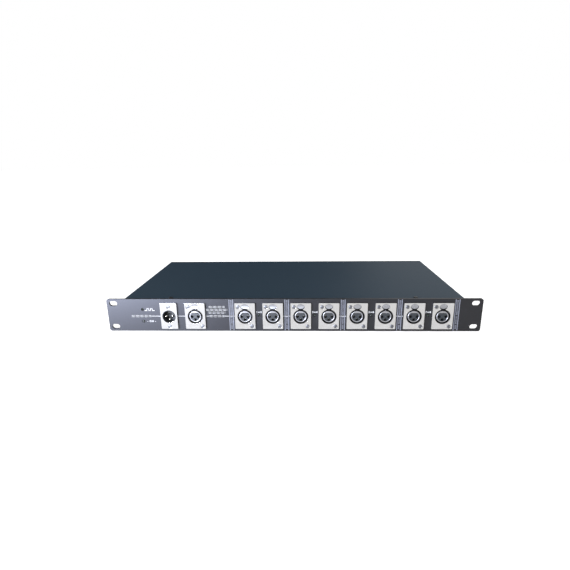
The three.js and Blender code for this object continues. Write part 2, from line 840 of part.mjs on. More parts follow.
// The main board: a driver and an isolator for each output, the input stage and the supply
function mainBoard() {
  const under = mainBoardUnder;
  const depth = [mainBoardFront, mainBoardFront + mainBoardDepth];
  const plate = block([mainBoardLeft, mainBoardLeft + mainBoardWidth], depth, [under, mainBoardTop]);
  const driver = [chipWidth, chipLength, chipHeight];
  const isolator = [isolatorWidth, isolatorLength, isolatorHeight];
  const blockSize = [terminalBlockWidth, terminalBlockLength, terminalBlockHeight];
  const capacitorRow = mainBoardFront + capacitorDepthShare * mainBoardDepth;
  const capacitors = capacitorShares.map((share) => {
    const x = mainBoardLeft + share * mainBoardWidth;
    const height = [mainBoardTop - boardThick / 2, mainBoardTop + capacitorHeight];
    return rodZ(capacitorDiameter / 2, ...height, pinFacets, x, capacitorRow);
  });
  const whole = joined([
    plate,
    ...driverDepthShares.flatMap((share) => boardRow(outputCount, driverRowShares, share, driver)),
    ...boardRow(outputCount / 2, isolatorRowShares, isolatorDepthShare, isolator),
    ...boardRow(1, [terminalBlockShare], terminalBlockDepthShare, blockSize),
    ...capacitors,
    heatsink(mainBoardLeft + heatsinkShare * mainBoardWidth, capacitorRow),
  ]);
  const holes = standoffPlaces.map(([x, y]) =>
    rodZ(standoffHole / 2, under - overrun, mainBoardTop + overrun, holeFacets, x, y),
  );
  return cut(whole, holes);
}

// The ribbon that joins the two boards, with a header at each end
function linkRibbon() {
  const start = connectorBoardBack + seatGap;
  const headerLevel = rearLine - connectorBoardHeight / 4;
  const end = mainBoardFront + ribbonHeaderHeight;
  const low = mainBoardTop + seatGap;
  const crest = headerLevel + ribbonHeaderHeight;
  const strip = polygon([
    [start, headerLevel - ribbonHeaderHeight / 2],
    [start + ribbonHeaderHeight, headerLevel - ribbonHeaderHeight / 2],
    [start + ribbonHeaderHeight, headerLevel],
    [start + ribbonReach, headerLevel],
    [end - ribbonHeaderHeight / 2, low + ribbonHeaderHeight],
    [end - ribbonHeaderHeight / 2, low],
    [end + ribbonHeaderHeight / 2, low],
    [end + ribbonHeaderHeight / 2, low + ribbonHeaderHeight],
    [end, low + ribbonHeaderHeight + ribbonThick],
    [start + ribbonReach + ribbonThick, crest],
    [start + ribbonHeaderHeight, headerLevel + ribbonThick + ribbonHeaderHeight / 2],
    [start, headerLevel + ribbonHeaderHeight / 2],
  ]);
  const middle = mainBoardLeft + mainBoardWidth / 2;
  return plateX(strip, ...across(ribbonWidth, middle));
}

// The transformer's winding: a ring with rounded edges, turned about its bolt
function toroidWinding() {
  const low = floorTop + seatGap;
  const high = low + toroidHeight;
  const inner = toroidHole / 2;
  const outer = toroidDiameter / 2;
  const edge = toroidEdgeRadius;
  const bend = edge * (1 - Math.SQRT1_2);
  return turnedZ(
    [
      [inner, low + edge],
      [inner + bend, low + bend],
      [inner + edge, low],
      [outer - edge, low],
      [outer - bend, low + bend],
      [outer, low + edge],
      [outer, high - edge],
      [outer - bend, high - bend],
      [outer - edge, high],
      [inner + edge, high],
      [inner + bend, high - bend],
      [inner, high - edge],
      [inner, low + edge],
    ],
    ringFacets,
  );
}

// The dished washer that holds the winding down
function toroidWasher() {
  const seat = floorTop + seatGap + toroidHeight + seatGap;
  const bore = boltDiameter / 2 + runningGap;
  const bottom = seat - washerDish;
  const flat = toroidHole / 2 - 2 * washerDish;
  return turnedZ(
    [
      [bore, bottom],
      [flat, bottom],
      [toroidHole / 2 + toroidEdgeRadius, seat],
      [washerDiameter / 2, seat],
      [washerDiameter / 2, seat + washerThick],
      [toroidHole / 2 + toroidEdgeRadius, seat + washerThick],
      [flat, bottom + washerThick],
      [bore, bottom + washerThick],
      [bore, bottom],
    ],
    ringFacets,
  );
}

function toroidBolt() {
  const headSeat = floorTop + 2 * seatGap + toroidHeight - washerDish + washerThick + seatGap;
  const shank = rodZ(boltDiameter / 2, floorTop + seatGap, headSeat + overrun, pinFacets);
  const head = rodZ(boltHeadDiameter / 2, headSeat, headSeat + boltHeadHeight, 6);
  return shank.add(head);
}

// The outline of the inlet's socket: a rectangle whose two upper corners are cut off
function inletOutline() {
  const [left, right] = across(inletSocketWidth);
  const [low, high] = across(inletSocketHeight);
  return polygon([
    [left, low],
    [right, low],
    [right, high - inletSocketChamfer],
    [right - inletSocketChamfer, high],
    [left + inletSocketChamfer, high],
    [left, high - inletSocketChamfer],
  ]);
}

// The inlet, drawn round the middle of its flange, with Y from the rear wall's outer face
const socketRise = (inletFlangeHeight - inletSocketHeight) / 2 - inletFlangeThick;
const drawerLevel = socketRise - inletSocketHeight / 2 - drawerWall - drawerHeight / 2;
const inletFace = seatGap + inletFlangeThick;

function inletBody() {
  const flangeOutline = rounded(inletFlangeWidth, inletFlangeHeight, inletFlangeThick);
  const plate = plateY(flangeOutline, seatGap, inletFace);
  const body = block(
    across(inletBodyWidth),
    [inletFace - inletBodyDepth, seatGap + inletFlangeThick / 2],
    across(inletBodyHeight),
  );
  const socket = moved(
    plateY(inletOutline(), inletFace - inletSocketDepth, inletFace + overrun),
    0,
    0,
    socketRise,
  );
  const drawerRoom = block(
    across(drawerWidth + 2 * runningGap),
    [inletFace - drawerDepth - seatGap, inletFace + overrun],
    across(drawerHeight + 2 * runningGap, drawerLevel),
  );
  const screwHoles = across(inletScrewSpacing).map((x) =>
    rodY(inletScrewHole / 2, -overrun, inletFace + overrun, holeFacets, x, 0),
  );
  const bladeHoles = bladePlaces.map(([x, z]) =>
    block(
      across(bladeThick + 2 * runningGap, x),
      [inletFace - inletBodyDepth - overrun, inletFace - inletSocketDepth + overrun],
      across(bladeWidth + 2 * runningGap, z),
    ),
  );
  return cut(plate.add(body), [socket, drawerRoom, ...screwHoles, ...bladeHoles]);
}

const bladePlaces = [
  [-bladeSpacing / 2, socketRise - earthBladeRise / 2],
  [bladeSpacing / 2, socketRise - earthBladeRise / 2],
  [0, socketRise + earthBladeRise / 2],
];
const bladeBack = inletFace - inletBodyDepth - bladeTabLength;

// A blade of the inlet, from its chamfered tip to the tab inside the case
function inletBlade() {
  const tip = inletFace - inletSocketDepth + bladeLength;
  const half = bladeWidth / 2;
  const nose = bladeThick / 2;
  const outline = polygon([
    [bladeBack, -half],
    [tip - nose, -half],
    [tip, -half + nose],
    [tip, half - nose],
    [tip - nose, half],
    [bladeBack, half],
  ]);
  return plateX(outline, ...across(bladeThick));
}

// The fuse drawer: a face with a finger groove, and a cradle that holds the fuse across
function fuseDrawer() {
  const face = inletFace + drawerFaceThick;
  const back = inletFace - drawerDepth;
  const cradleBack = back + drawerWall;
  const cradleFront = cradleBack + fuseDiameter + 2 * runningGap;
  const body = block(across(drawerWidth), [back, face], across(drawerHeight));
  const cradle = block(
    across(fuseLength + 2 * runningGap),
    [cradleBack, cradleFront],
    [-drawerHeight / 2 + drawerWall, drawerHeight / 2 + overrun],
  );
  const groove = block(
    across(drawerFingerWidth),
    [face - drawerFingerDepth, face + overrun],
    [drawerHeight / 2 - drawerFingerHeight, drawerHeight / 2 + overrun],
  );
  return cut(body, [cradle, groove]);
}

// The fuse: a glass tube with a metal cap on each end
function fuse() {
  const y = inletFace - drawerDepth + drawerWall + runningGap + fuseDiameter / 2;
  const z = -drawerHeight / 2 + drawerWall + runningGap + fuseDiameter / 2;
  const tube = rodX(fuseDiameter / 2 - fuseCapWall, ...across(fuseLength), pinFacets, y, z);
  const half = fuseLength / 2;
  const caps = [
    [-half, -half + fuseCapLength],
    [half - fuseCapLength, half],
  ];
  return joined([
    tube,
    ...caps.map(([left, right]) => rodX(fuseDiameter / 2, left, right, pinFacets, y, z)),
  ]);
}

// The switch body, drawn round the rocker's middle, with Y from the rear wall's outer face
const rockerPivotY = -rockerPivotInset;

function switchBody() {
  const outer = seatGap + bezelThick;
  const bezel = plateY(rounded(bezelWidth, bezelHeight, bezelCornerRadius), seatGap, outer);
  const back = outer - switchBodyDepth;
  const body = block(across(switchBodyWidth), [back, outer - overrun], across(switchBodyHeight));
  const terminals = across(terminalSpacing).map((z) =>
    block(across(terminalWidth), [back - terminalLength, back + overrun], across(terminalThick, z)),
  );
  const well = block(
    across(rockerWidth + 2 * runningGap),
    [rockerPivotY - rockerRadius / 2 - seatGap, outer + overrun],
    across(2 * (rockerRadius + runningGap)),
  );
  const trunnionReach = rockerWidth / 2 + rockerTrunnionLength + runningGap;
  const bearing = pivotHole(rockerTrunnionDiameter / 2, trunnionReach, rockerPivotY, 0);
  return cut(joined([bezel, body, ...terminals]), [well, bearing]);
}

// The rocker, drawn in Y and Z round its pivot: round ends and a hollow face
function rocker() {
  const faceMiddle = rockerFaceHeight + rockerFaceRadius;
  const disc = rodX(rockerRadius, ...across(rockerWidth), 2 * boreFacets);
  const hollow = rodX(rockerFaceRadius, -rockerWidth, rockerWidth, scoopFacets, faceMiddle);
  const beyond = [rockerFaceHeight + overrun, rockerRadius + overrun];
  const cap = block(across(2 * rockerWidth), beyond, across(2 * (rockerRadius + overrun)));
  const under = block(
    across(2 * rockerWidth),
    [-rockerRadius - overrun, -rockerBelow],
    across(2 * (rockerRadius + overrun)),
  );
  const trunnionReach = rockerWidth / 2 + rockerTrunnionLength;
  const trunnionRadius = rockerTrunnionDiameter / 2;
  const trunnions = rodX(trunnionRadius, -trunnionReach, trunnionReach, pivotFacets);
  return cut(disc, [hollow.intersect(disc), cap, under]).add(trunnions);
}

// A wire along a smooth line through its points
function wire(points) {
  const path = new THREE.CatmullRomCurve3(points.map((point) => new THREE.Vector3(...point)));
  const section = new THREE.Shape();
  section.absarc(0, 0, wireDiameter / 2, 0, 2 * Math.PI);
  const geometry = new THREE.ExtrudeGeometry(section, {
    steps: wireStepCount,
    extrudePath: path,
    curveSegments: wireFacets / 2,
  });
  return solid(geometry);
}

// Places of the lamps, the screws of the cover, the standoffs and the earth stud
const lampPlaces = [
  [lampX, lampLine + lampSpacing / 2],
  [lampX, lampLine - lampSpacing / 2],
  ...Array.from({ length: outputCount / 2 }, (_, i) => [
    (outputXs[2 * i] + outputXs[2 * i + 1]) / 2,
    lampLine,
  ]),
];
const coverScrewYs = [chassisFront + coverScrewInset, chassisRear - coverScrewInset];
const standoffPlaces = [standoffInset, mainBoardWidth / 2, mainBoardWidth - standoffInset].flatMap(
  (along) =>
    [standoffInset, mainBoardDepth - standoffInset].map((back) => [
      mainBoardLeft + along,
      mainBoardFront + back,
    ]),
);
const studPlace = [inletX + inletBodyWidth / 2 + 2 * studDiameter, studSetback];

// Assembly
const unit = new THREE.Group();

function place(group, name, geometry, material, x = 0, y = 0, z = 0) {
  const mesh = new THREE.Mesh(geometry, materials[material]);
  mesh.name = name;
  mesh.position.set(x, y, z);
  group.add(mesh);
  return mesh;
}

function connectorGroup(x) {
  const group = new THREE.Group();
  group.position.set(x, 0, socketLine);
  unit.add(group);
  return group;
}

place(unit, "front_panel", geometryOf(frontPanel()), "panelPaint");
place(unit, "chassis_tray", geometryOf(chassisTray()), "casePaint");
place(unit, "top_cover", geometryOf(topCover()), "casePaint");

const plug = connectorGroup(inputX);
place(plug, "input_shell", geometryOf(inputShell()), "nickel");
place(plug, "input_insert", geometryOf(inputInsert()), "blackPlastic");
const pinGeometry = geometryOf(inputPin());
contactPlaces.forEach(([x, z], i) => {
  place(plug, `input_pin_${i + 1}`, pinGeometry, "contactSilver", x, 0, z);
});

const shellGeometry = geometryOf(socketShell());
const insertGeometry = geometryOf(socketInsert());
const latchGeometry = geometryOf(socketLatch());
const sockets = [["thru", thruX], ...outputXs.map((x, i) => [`output_${i + 1}`, x])];
for (const [name, x] of sockets) {
  const socket = connectorGroup(x);
  place(socket, `${name}_shell`, shellGeometry, "nickel");
  place(socket, `${name}_insert`, insertGeometry, "blackPlastic");
  place(socket, `${name}_latch`, latchGeometry, "nickel");
}

const lampNames = ["data_lamp", "power_lamp", "pair_lamp_1", "pair_lamp_2", "pair_lamp_3", "pair_lamp_4"];
const lampGeometry = geometryOf(lamp());
lampPlaces.forEach(([x, z], i) => place(unit, lampNames[i], lampGeometry, "lampLens", x, 0, z));

place(unit, "connector_board", geometryOf(connectorBoard()), "boardLaminate");
place(unit, "main_board", geometryOf(mainBoard()), "boardLaminate");
place(unit, "link_ribbon", geometryOf(linkRibbon()), "greyInsulation");

const transformer = new THREE.Group();
transformer.position.set(toroidX, toroidSetback, 0);
unit.add(transformer);
place(transformer, "toroid_winding", geometryOf(toroidWinding()), "windingTape");
place(transformer, "toroid_washer", geometryOf(toroidWasher()), "zincSteel");
place(transformer, "toroid_bolt", geometryOf(toroidBolt()), "zincSteel");

const inlet = new THREE.Group();
inlet.position.set(inletX, chassisRear, rearLine);
unit.add(inlet);
place(inlet, "inlet_body", geometryOf(inletBody()), "blackPlastic");
const bladeGeometry = geometryOf(inletBlade());
["inlet_blade_neutral", "inlet_blade_live", "inlet_blade_earth"].forEach((name, i) => {
  const [x, z] = bladePlaces[i];
  place(inlet, name, bladeGeometry, "contactSilver", x, 0, z);
});
place(inlet, "fuse_drawer", geometryOf(fuseDrawer()), "blackPlastic", 0, 0, drawerLevel);
place(inlet, "fuse", geometryOf(fuse()), "fuseGlass", 0, 0, drawerLevel);

const rearSwitch = new THREE.Group();
rearSwitch.position.set(switchX, chassisRear, rearLine);
unit.add(rearSwitch);
place(rearSwitch, "switch_body", geometryOf(switchBody()), "blackPlastic");
const rockerMesh = place(rearSwitch, "switch_rocker", geometryOf(rocker()), "blackPlastic", 0, rockerPivotY);
rockerMesh.rotation.x = THREE.MathUtils.degToRad(rockerTiltDegrees);

// Wires leave each tab straight, and then run to the piece that they feed
const wireRadius = wireDiameter / 2;
const wireLead = 2 * wireDiameter;
const tabY = chassisRear + bladeBack - seatGap;
const bladeTabs = bladePlaces.map(([x, z]) => [inletX + x, tabY, rearLine + z]);
const [neutralTab, liveTab, earthTab] = bladeTabs;
const terminalY = chassisRear + seatGap + bezelThick - switchBodyDepth - terminalLength - seatGap;
const terminalZs = across(terminalSpacing, rearLine);
const [lowTerminal, highTerminal] = terminalZs.map((z) => [switchX, terminalY, z]);
const toroidMiddle = floorTop + seatGap + toroidHeight / 2;
const toroidRear = toroidSetback + toroidDiameter / 2 + seatGap;
const toroidLeft = toroidX - toroidDiameter / 2 - seatGap;
const studEnd = [...studPlace, floorTop + studHeight + seatGap];
const secondaryEnd = [
  mainBoardLeft + mainBoardWidth * terminalBlockShare + terminalBlockWidth / 2 + seatGap,
  mainBoardFront + mainBoardDepth * terminalBlockDepthShare,
  mainBoardTop + terminalBlockHeight / 2,
];
const ahead = ([x, y, z]) => [x, y - wireLead, z];
const behind = ([x, y, z]) => [x, y + wireLead, z];
const primaryStarts = across(toroidDiameter / 4, toroidX).map((x) => [x, toroidRear, toroidMiddle]);
const secondaryStart = [toroidLeft, toroidSetback, toroidMiddle];
const wires = {
  live_wire: [
    "brownInsulation",
    liveTab,
    ahead(liveTab),
    [inletX, tabY - 2 * wireLead, floorTop + wireLead],
    ahead(lowTerminal),
    lowTerminal,
  ],
  switched_wire: [
    "brownInsulation",
    highTerminal,
    ahead(highTerminal),
    behind(primaryStarts[0]),
    primaryStarts[0],
  ],
  neutral_wire: [
    "blueInsulation",
    neutralTab,
    ahead(neutralTab),
    behind(primaryStarts[1]),
    primaryStarts[1],
  ],
  earth_wire: [
    "greenInsulation",
    earthTab,
    ahead(earthTab),
    [studEnd[0], studEnd[1], studEnd[2] + wireLead],
    studEnd,
  ],
  secondary_wire: [
    "greyInsulation",
    secondaryStart,
    [secondaryStart[0] - wireLead, secondaryStart[1], secondaryStart[2]],
    [secondaryEnd[0] + wireLead, secondaryEnd[1], secondaryEnd[2]],
    secondaryEnd,
  ],
};
for (const [name, [material, ...points]] of Object.entries(wires)) {
  place(unit, name, geometryOf(wire(points)), material);
}

// The origin is the middle of the footprint, at the height of the lowest edge
const centre = new THREE.Box3().setFromObject(unit, true).getCenter(new THREE.Vector3());
unit.position.y = -centre.y;

const splitter = new THREE.Group();
splitter.add(unit);
export default splitter;
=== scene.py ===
"""Looks of a rack-mounting DMX splitter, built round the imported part."""

import json
import logging
import math
from collections.abc import Iterable, Sequence
from dataclasses import dataclass, field, replace
from enum import Enum
from typing import Protocol

import bmesh
import bpy
from mathutils import Matrix, Vector


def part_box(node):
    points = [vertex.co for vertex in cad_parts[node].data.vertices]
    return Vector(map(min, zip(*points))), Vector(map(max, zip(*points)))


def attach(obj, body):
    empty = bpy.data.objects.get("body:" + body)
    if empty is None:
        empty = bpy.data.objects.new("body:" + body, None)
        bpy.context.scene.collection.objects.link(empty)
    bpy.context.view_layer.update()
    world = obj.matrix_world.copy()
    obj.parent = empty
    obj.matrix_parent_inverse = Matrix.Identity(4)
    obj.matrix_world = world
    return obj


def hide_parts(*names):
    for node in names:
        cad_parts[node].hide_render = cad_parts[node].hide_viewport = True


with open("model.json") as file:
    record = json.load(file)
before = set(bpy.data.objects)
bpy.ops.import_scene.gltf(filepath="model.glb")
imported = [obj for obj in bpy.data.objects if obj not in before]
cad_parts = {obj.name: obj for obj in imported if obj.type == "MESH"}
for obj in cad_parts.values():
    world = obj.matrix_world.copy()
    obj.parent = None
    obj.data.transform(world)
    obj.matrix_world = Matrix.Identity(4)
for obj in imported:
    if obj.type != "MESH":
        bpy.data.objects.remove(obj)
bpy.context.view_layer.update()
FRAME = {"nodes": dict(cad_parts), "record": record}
MM = 0.001
TO_MM = 1000.0
LOG = logging.getLogger("splitter")

CASE = "case"
OUTPUT_COUNT = 8

# How far the crosses of a pair of screws are turned, in degrees: the plug's, the first socket's,
# and the change from one socket to the next
PLUG_TURN = 37
SOCKET_TURN = 23
TURN_STEP = 31

# Corners this close, in millimetres, are one: in a cut solid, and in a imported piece's copy
WELD = 0.0005
PACKED_WELD = 0.002
# How far a cutting solid passes the faces that it opens, in millimetres
OVERRUN = 1.0
# The angle, in degrees, up to which neighbouring faces are one flat face
FLAT_UNDER = 1.0


class Cut(Enum):
    """Ways to combine two solids."""

    AWAY = "DIFFERENCE"
    TOGETHER = "UNION"


# Solids, in millimetres: X across, Y from front to back, Z up


class Outline(Protocol):
    """A flat shape in X and Z, as one face in a bmesh."""

    def face(self, bm: bmesh.types.BMesh) -> bmesh.types.BMFace:
        """The shape's face, made in bm at Y zero."""


UPRIGHT = Matrix.Rotation(math.pi / 2, 4, "X")


@dataclass(frozen=True)
class Round:
    """A circle, or an ellipse where height_share isn't 1."""

    radius: float
    x: float = 0.0
    z: float = 0.0
    height_share: float = 1.0
    segments: int = 64
    flat: float | None = None

    def face(self, bm: bmesh.types.BMesh) -> bmesh.types.BMFace:
        """The circle's face, cut off above flat where that is given.

        Args:
            bm: the bmesh that it is made in.

        Returns:
            The face.
        """
        place = Matrix.Translation((self.x, 0, self.z))
        stretch = Matrix.Diagonal((1, self.height_share, 1, 1))
        made = bmesh.ops.create_circle(
            bm,
            cap_ends=True,
            segments=self.segments,
            radius=self.radius,
            matrix=place @ UPRIGHT @ stretch,
        )
        face = made["verts"][0].link_faces[0]
        if self.flat is None:
            return face
        geometry = [face, *face.edges, *face.verts]
        bmesh.ops.bisect_plane(
            bm,
            geom=geometry,
            plane_co=(0, 0, self.z + self.flat),
            plane_no=(0, 0, 1),
            clear_outer=True,
        )
        return max(bm.faces, key=lambda each: each.calc_area())


@dataclass(frozen=True)
class Rounded:
    """A rectangle with rounded corners."""

    width: float
    height: float
    radius: float = 0.0
    x: float = 0.0
    z: float = 0.0
    segments: int = 6

    def face(self, bm: bmesh.types.BMesh) -> bmesh.types.BMFace:
        """The rectangle's face.

        Args:
            bm: the bmesh that it is made in.

        Returns:
            The face.
        """
        place = Matrix.Translation((self.x, 0, self.z))
        stretch = Matrix.Diagonal((self.width, self.height, 1, 1))
        made = bmesh.ops.create_grid(
            bm, x_segments=1, y_segments=1, size=0.5, matrix=place @ UPRIGHT @ stretch
        )
        if self.radius > 0:
            bmesh.ops.bevel(
                bm,
                geom=made["verts"],
                offset=self.radius,
                segments=self.segments,
                profile=0.5,
                affect="VERTICES",
                material=-1,
            )
        return max(bm.faces, key=lambda each: each.calc_area())


@dataclass(frozen=True)
class Corners:
    """A shape with straight sides between its corners."""

    points: tuple[tuple[float, float], ...]

    def face(self, bm: bmesh.types.BMesh) -> bmesh.types.BMFace:
        """The shape's face, made in bm."""
        verts = [bm.verts.new((x, 0, z)) for x, z in self.points]
        return bm.faces.new(verts)


def prism(outline: Outline, front: float, back: float) -> bmesh.types.BMesh:
    """A straight-sided solid.

    Args:
        outline: its shape, seen from the front.
        front: the Y of its front face.
        back: the Y of its back face.

    Returns:
        The closed solid.
    """
    bm = bmesh.new()
    face = outline.face(bm)
    bmesh.ops.translate(bm, verts=bm.verts, vec=(0, front, 0))
    made = bmesh.ops.extrude_face_region(bm, geom=[face])
    moved = [each for each in made["geom"] if isinstance(each, bmesh.types.BMVert)]
    bmesh.ops.translate(bm, verts=moved, vec=(0, back - front, 0))
    bmesh.ops.recalc_face_normals(bm, faces=bm.faces)
    return bm


def turned(profile: Sequence[tuple[float, float]], segments: int = 48) -> bmesh.types.BMesh:
    """A solid turned about the Y axis.

    Args:
        profile: radius and Y of each corner, from axis to axis or back to the first corner.
        segments: steps in the full turn.

    Returns:
        The closed solid.
    """
    bm = bmesh.new()
    verts = [bm.verts.new((radius, y, 0)) for radius, y in profile]
    edges = [bm.edges.new(pair) for pair in zip(verts, verts[1:])]
    bmesh.ops.spin(
        bm,
        geom=[*verts, *edges],
        cent=(0, 0, 0),
        axis=(0, 1, 0),
        angle=2 * math.pi,
        steps=segments,
        use_merge=True,
    )
    bmesh.ops.remove_doubles(bm, verts=bm.verts, dist=WELD)
    bmesh.ops.recalc_face_normals(bm, faces=bm.faces)
    return bm


def block(size: Sequence[float], centre: Sequence[float]) -> bmesh.types.BMesh:
    """A rectangular solid.

    Args:
        size: its width, depth and height.
        centre: its middle.

    Returns:
        The closed solid.
    """
    bm = bmesh.new()
    matrix = Matrix.Translation(centre) @ Matrix.Diagonal((*size, 1))
    bmesh.ops.create_cube(bm, size=1, matrix=matrix)
    return bm


def placed(bm: bmesh.types.BMesh, matrix: Matrix) -> bmesh.types.BMesh:
    """The same solid, moved or turned by the matrix."""
    bmesh.ops.transform(bm, matrix=matrix, verts=bm.verts)
    return bm


def shifted(bm: bmesh.types.BMesh, x: float, y: float, z: float) -> bmesh.types.BMesh:
    """The same solid, moved."""
    return placed(bm, Matrix.Translation((x, y, z)))


def gathered(solids: Iterable[bmesh.types.BMesh]) -> bmesh.types.BMesh:
    """Several solids in one bmesh, not joined.

    Args:
        solids: the solids, used up here.

    Returns:
        All of them.
    """
    whole = bmesh.new()
    carrier = bpy.data.meshes.new("carrier")
    for each in solids:
        each.to_mesh(carrier)
        whole.from_mesh(carrier)
        each.free()
    bpy.data.meshes.remove(carrier)
    return whole


def held(bm: bmesh.types.BMesh) -> bpy.types.Object:
    """A passing object that holds a solid while it is cut.

    Args:
        bm: the solid, used up here.

    Returns:
        The object.
    """
    mesh = bpy.data.meshes.new("held")
    bm.to_mesh(mesh)
    bm.free()
    thing = bpy.data.objects.new("held", mesh)
    bpy.context.scene.collection.objects.link(thing)
    return thing


def carve(
    body: bmesh.types.BMesh, tools: Iterable[bmesh.types.BMesh], cut: Cut = Cut.AWAY
) -> bmesh.types.BMesh:
    """A solid with others cut from it, or joined to it.

    Args:
        body: the solid to work on. It is used up, and so are the tools.
        tools: the solids to combine with it, in turn.
        cut: whether they are taken away or added.

    Returns:
        The new solid.
    """
    whole = held(body)
    things = [held(tool) for tool in tools]
    for thing in things:
        modifier = whole.modifiers.new("cut", "BOOLEAN")
        modifier.object = thing
        modifier.operation = cut.value
        modifier.solver = "EXACT"
    depsgraph = bpy.context.evaluated_depsgraph_get()
    evaluated = whole.evaluated_get(depsgraph)
    result = bmesh.new()
    result.from_mesh(evaluated.to_mesh())
    evaluated.to_mesh_clear()
    for thing in [whole, *things]:
        mesh = thing.data
        bpy.data.objects.remove(thing)
        bpy.data.meshes.remove(mesh)
    bmesh.ops.remove_doubles(result, verts=result.verts, dist=WELD)
    bmesh.ops.dissolve_degenerate(result, edges=result.edges, dist=WELD)
    return result


def softened(
    bm: bmesh.types.BMesh,
    width: float,
    segments: int = 2,
    sharper_than: float = 40,
) -> bmesh.types.BMesh:
    """A solid with its sharp edges rounded.

    Args:
        bm: the solid.
        width: how far the rounding reaches from each edge.
        segments: steps in the rounding.
        sharper_than: the angle, in degrees, past which an edge is rounded.

    Returns:
        The same solid.
    """
    flat = math.radians(FLAT_UNDER)
    bmesh.ops.dissolve_limit(bm, angle_limit=flat, verts=bm.verts, edges=bm.edges)
    sharp = math.radians(sharper_than)
    edges = [edge for edge in bm.edges if edge.is_manifold and edge.calc_face_angle() > sharp]
    bmesh.ops.bevel(
        bm,
        geom=edges,
        offset=width,
        segments=segments,
        profile=0.5,
        affect="EDGES",
        clamp_overlap=True,
        material=-1,
    )
    return bm


def solid_of(node: str) -> bmesh.types.BMesh:
    """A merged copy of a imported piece, in millimetres.

    Args:
        node: the piece's name.

    Returns:
        The closed solid.
    """
    bm = bmesh.new()
    bm.from_mesh(FRAME["nodes"][node].data)
    bmesh.ops.scale(bm, vec=(TO_MM, TO_MM, TO_MM), verts=bm.verts)
    bmesh.ops.remove_doubles(bm, verts=bm.verts, dist=PACKED_WELD)
    return bm


# The height of a figure as a share of its font's size
CAPITAL_SHARE = 0.73
# Steps in each bend of a figure
CURVE_STEPS = 4


def lettered(
    text: str,
    height: float,
    x: float,
    z: float,
    thick: float,
    heavier: float = 0.0,
    spread: float = 1.0,
) -> bmesh.types.BMesh:
    """Raised print of plain figures, halfway into the face at Y zero.

    Args:
        text: the figures.
        height: their height.
        x: the middle of the print.
        z: the middle of the print.
        thick: how far it stands off the surface.
        heavier: how far each stroke is widened on both sides.
        spread: the spacing of the figures, as a share of the usual one.

    Returns:
        The print as a closed solid.
    """
    curve = bpy.data.curves.new("figures", "FONT")
    curve.body = text
    curve.align_x = "CENTER"
    curve.align_y = "CENTER"
    curve.size = height / CAPITAL_SHARE
    curve.extrude = thick
    curve.offset = heavier
    curve.space_character = spread
    curve.resolution_u = CURVE_STEPS
    thing = bpy.data.objects.new("figures", curve)
    bpy.context.scene.collection.objects.link(thing)
    mesh = bpy.data.meshes.new_from_object(thing)
    bm = bmesh.new()
    bm.from_mesh(mesh)
    bpy.data.objects.remove(thing)
    bpy.data.curves.remove(curve)
    bpy.data.meshes.remove(mesh)
    return placed(bm, Matrix.Translation((x, 0, z)) @ UPRIGHT)


# Finishes

# The least roughness that a finish strays down to
SMOOTHEST = 0.02


def linear(colour: str) -> tuple[float, float, float, float]:
    """A hex sRGB colour as linear red, green, blue and a full alpha.

    Args:
        colour: a number sign and six hex digits.

    Returns:
        The four linear parts.
    """
    parts = [int(colour[i : i + 2], 16) / 255 for i in (1, 3, 5)]
    # The sRGB curve: straight near black, and a power of 2.4 above that
    low = 0.04045
    red, green, blue = [p / 12.92 if p <= low else ((p + 0.055) / 1.055) ** 2.4 for p in parts]
    return red, green, blue, 1.0


def add_node(
    tree: bpy.types.NodeTree,
    kind: str,
    inputs: dict[str | int, object] | None = None,
    **settings: object,
) -> bpy.types.Node:
    """A shader node.

    Args:
        tree: the material's node tree.
        kind: the node's type.
        inputs: for each input by name or number, a value or the output socket to link to it.
        settings: the node's own properties.

    Returns:
        The new node.
    """
    made = tree.nodes.new(kind)
    for name, value in settings.items():
        setattr(made, name, value)
    for name, value in (inputs or {}).items():
        socket = made.inputs[name]
        if isinstance(value, bpy.types.NodeSocket):
            tree.links.new(value, socket)
        else:
            socket.default_value = value
    return made


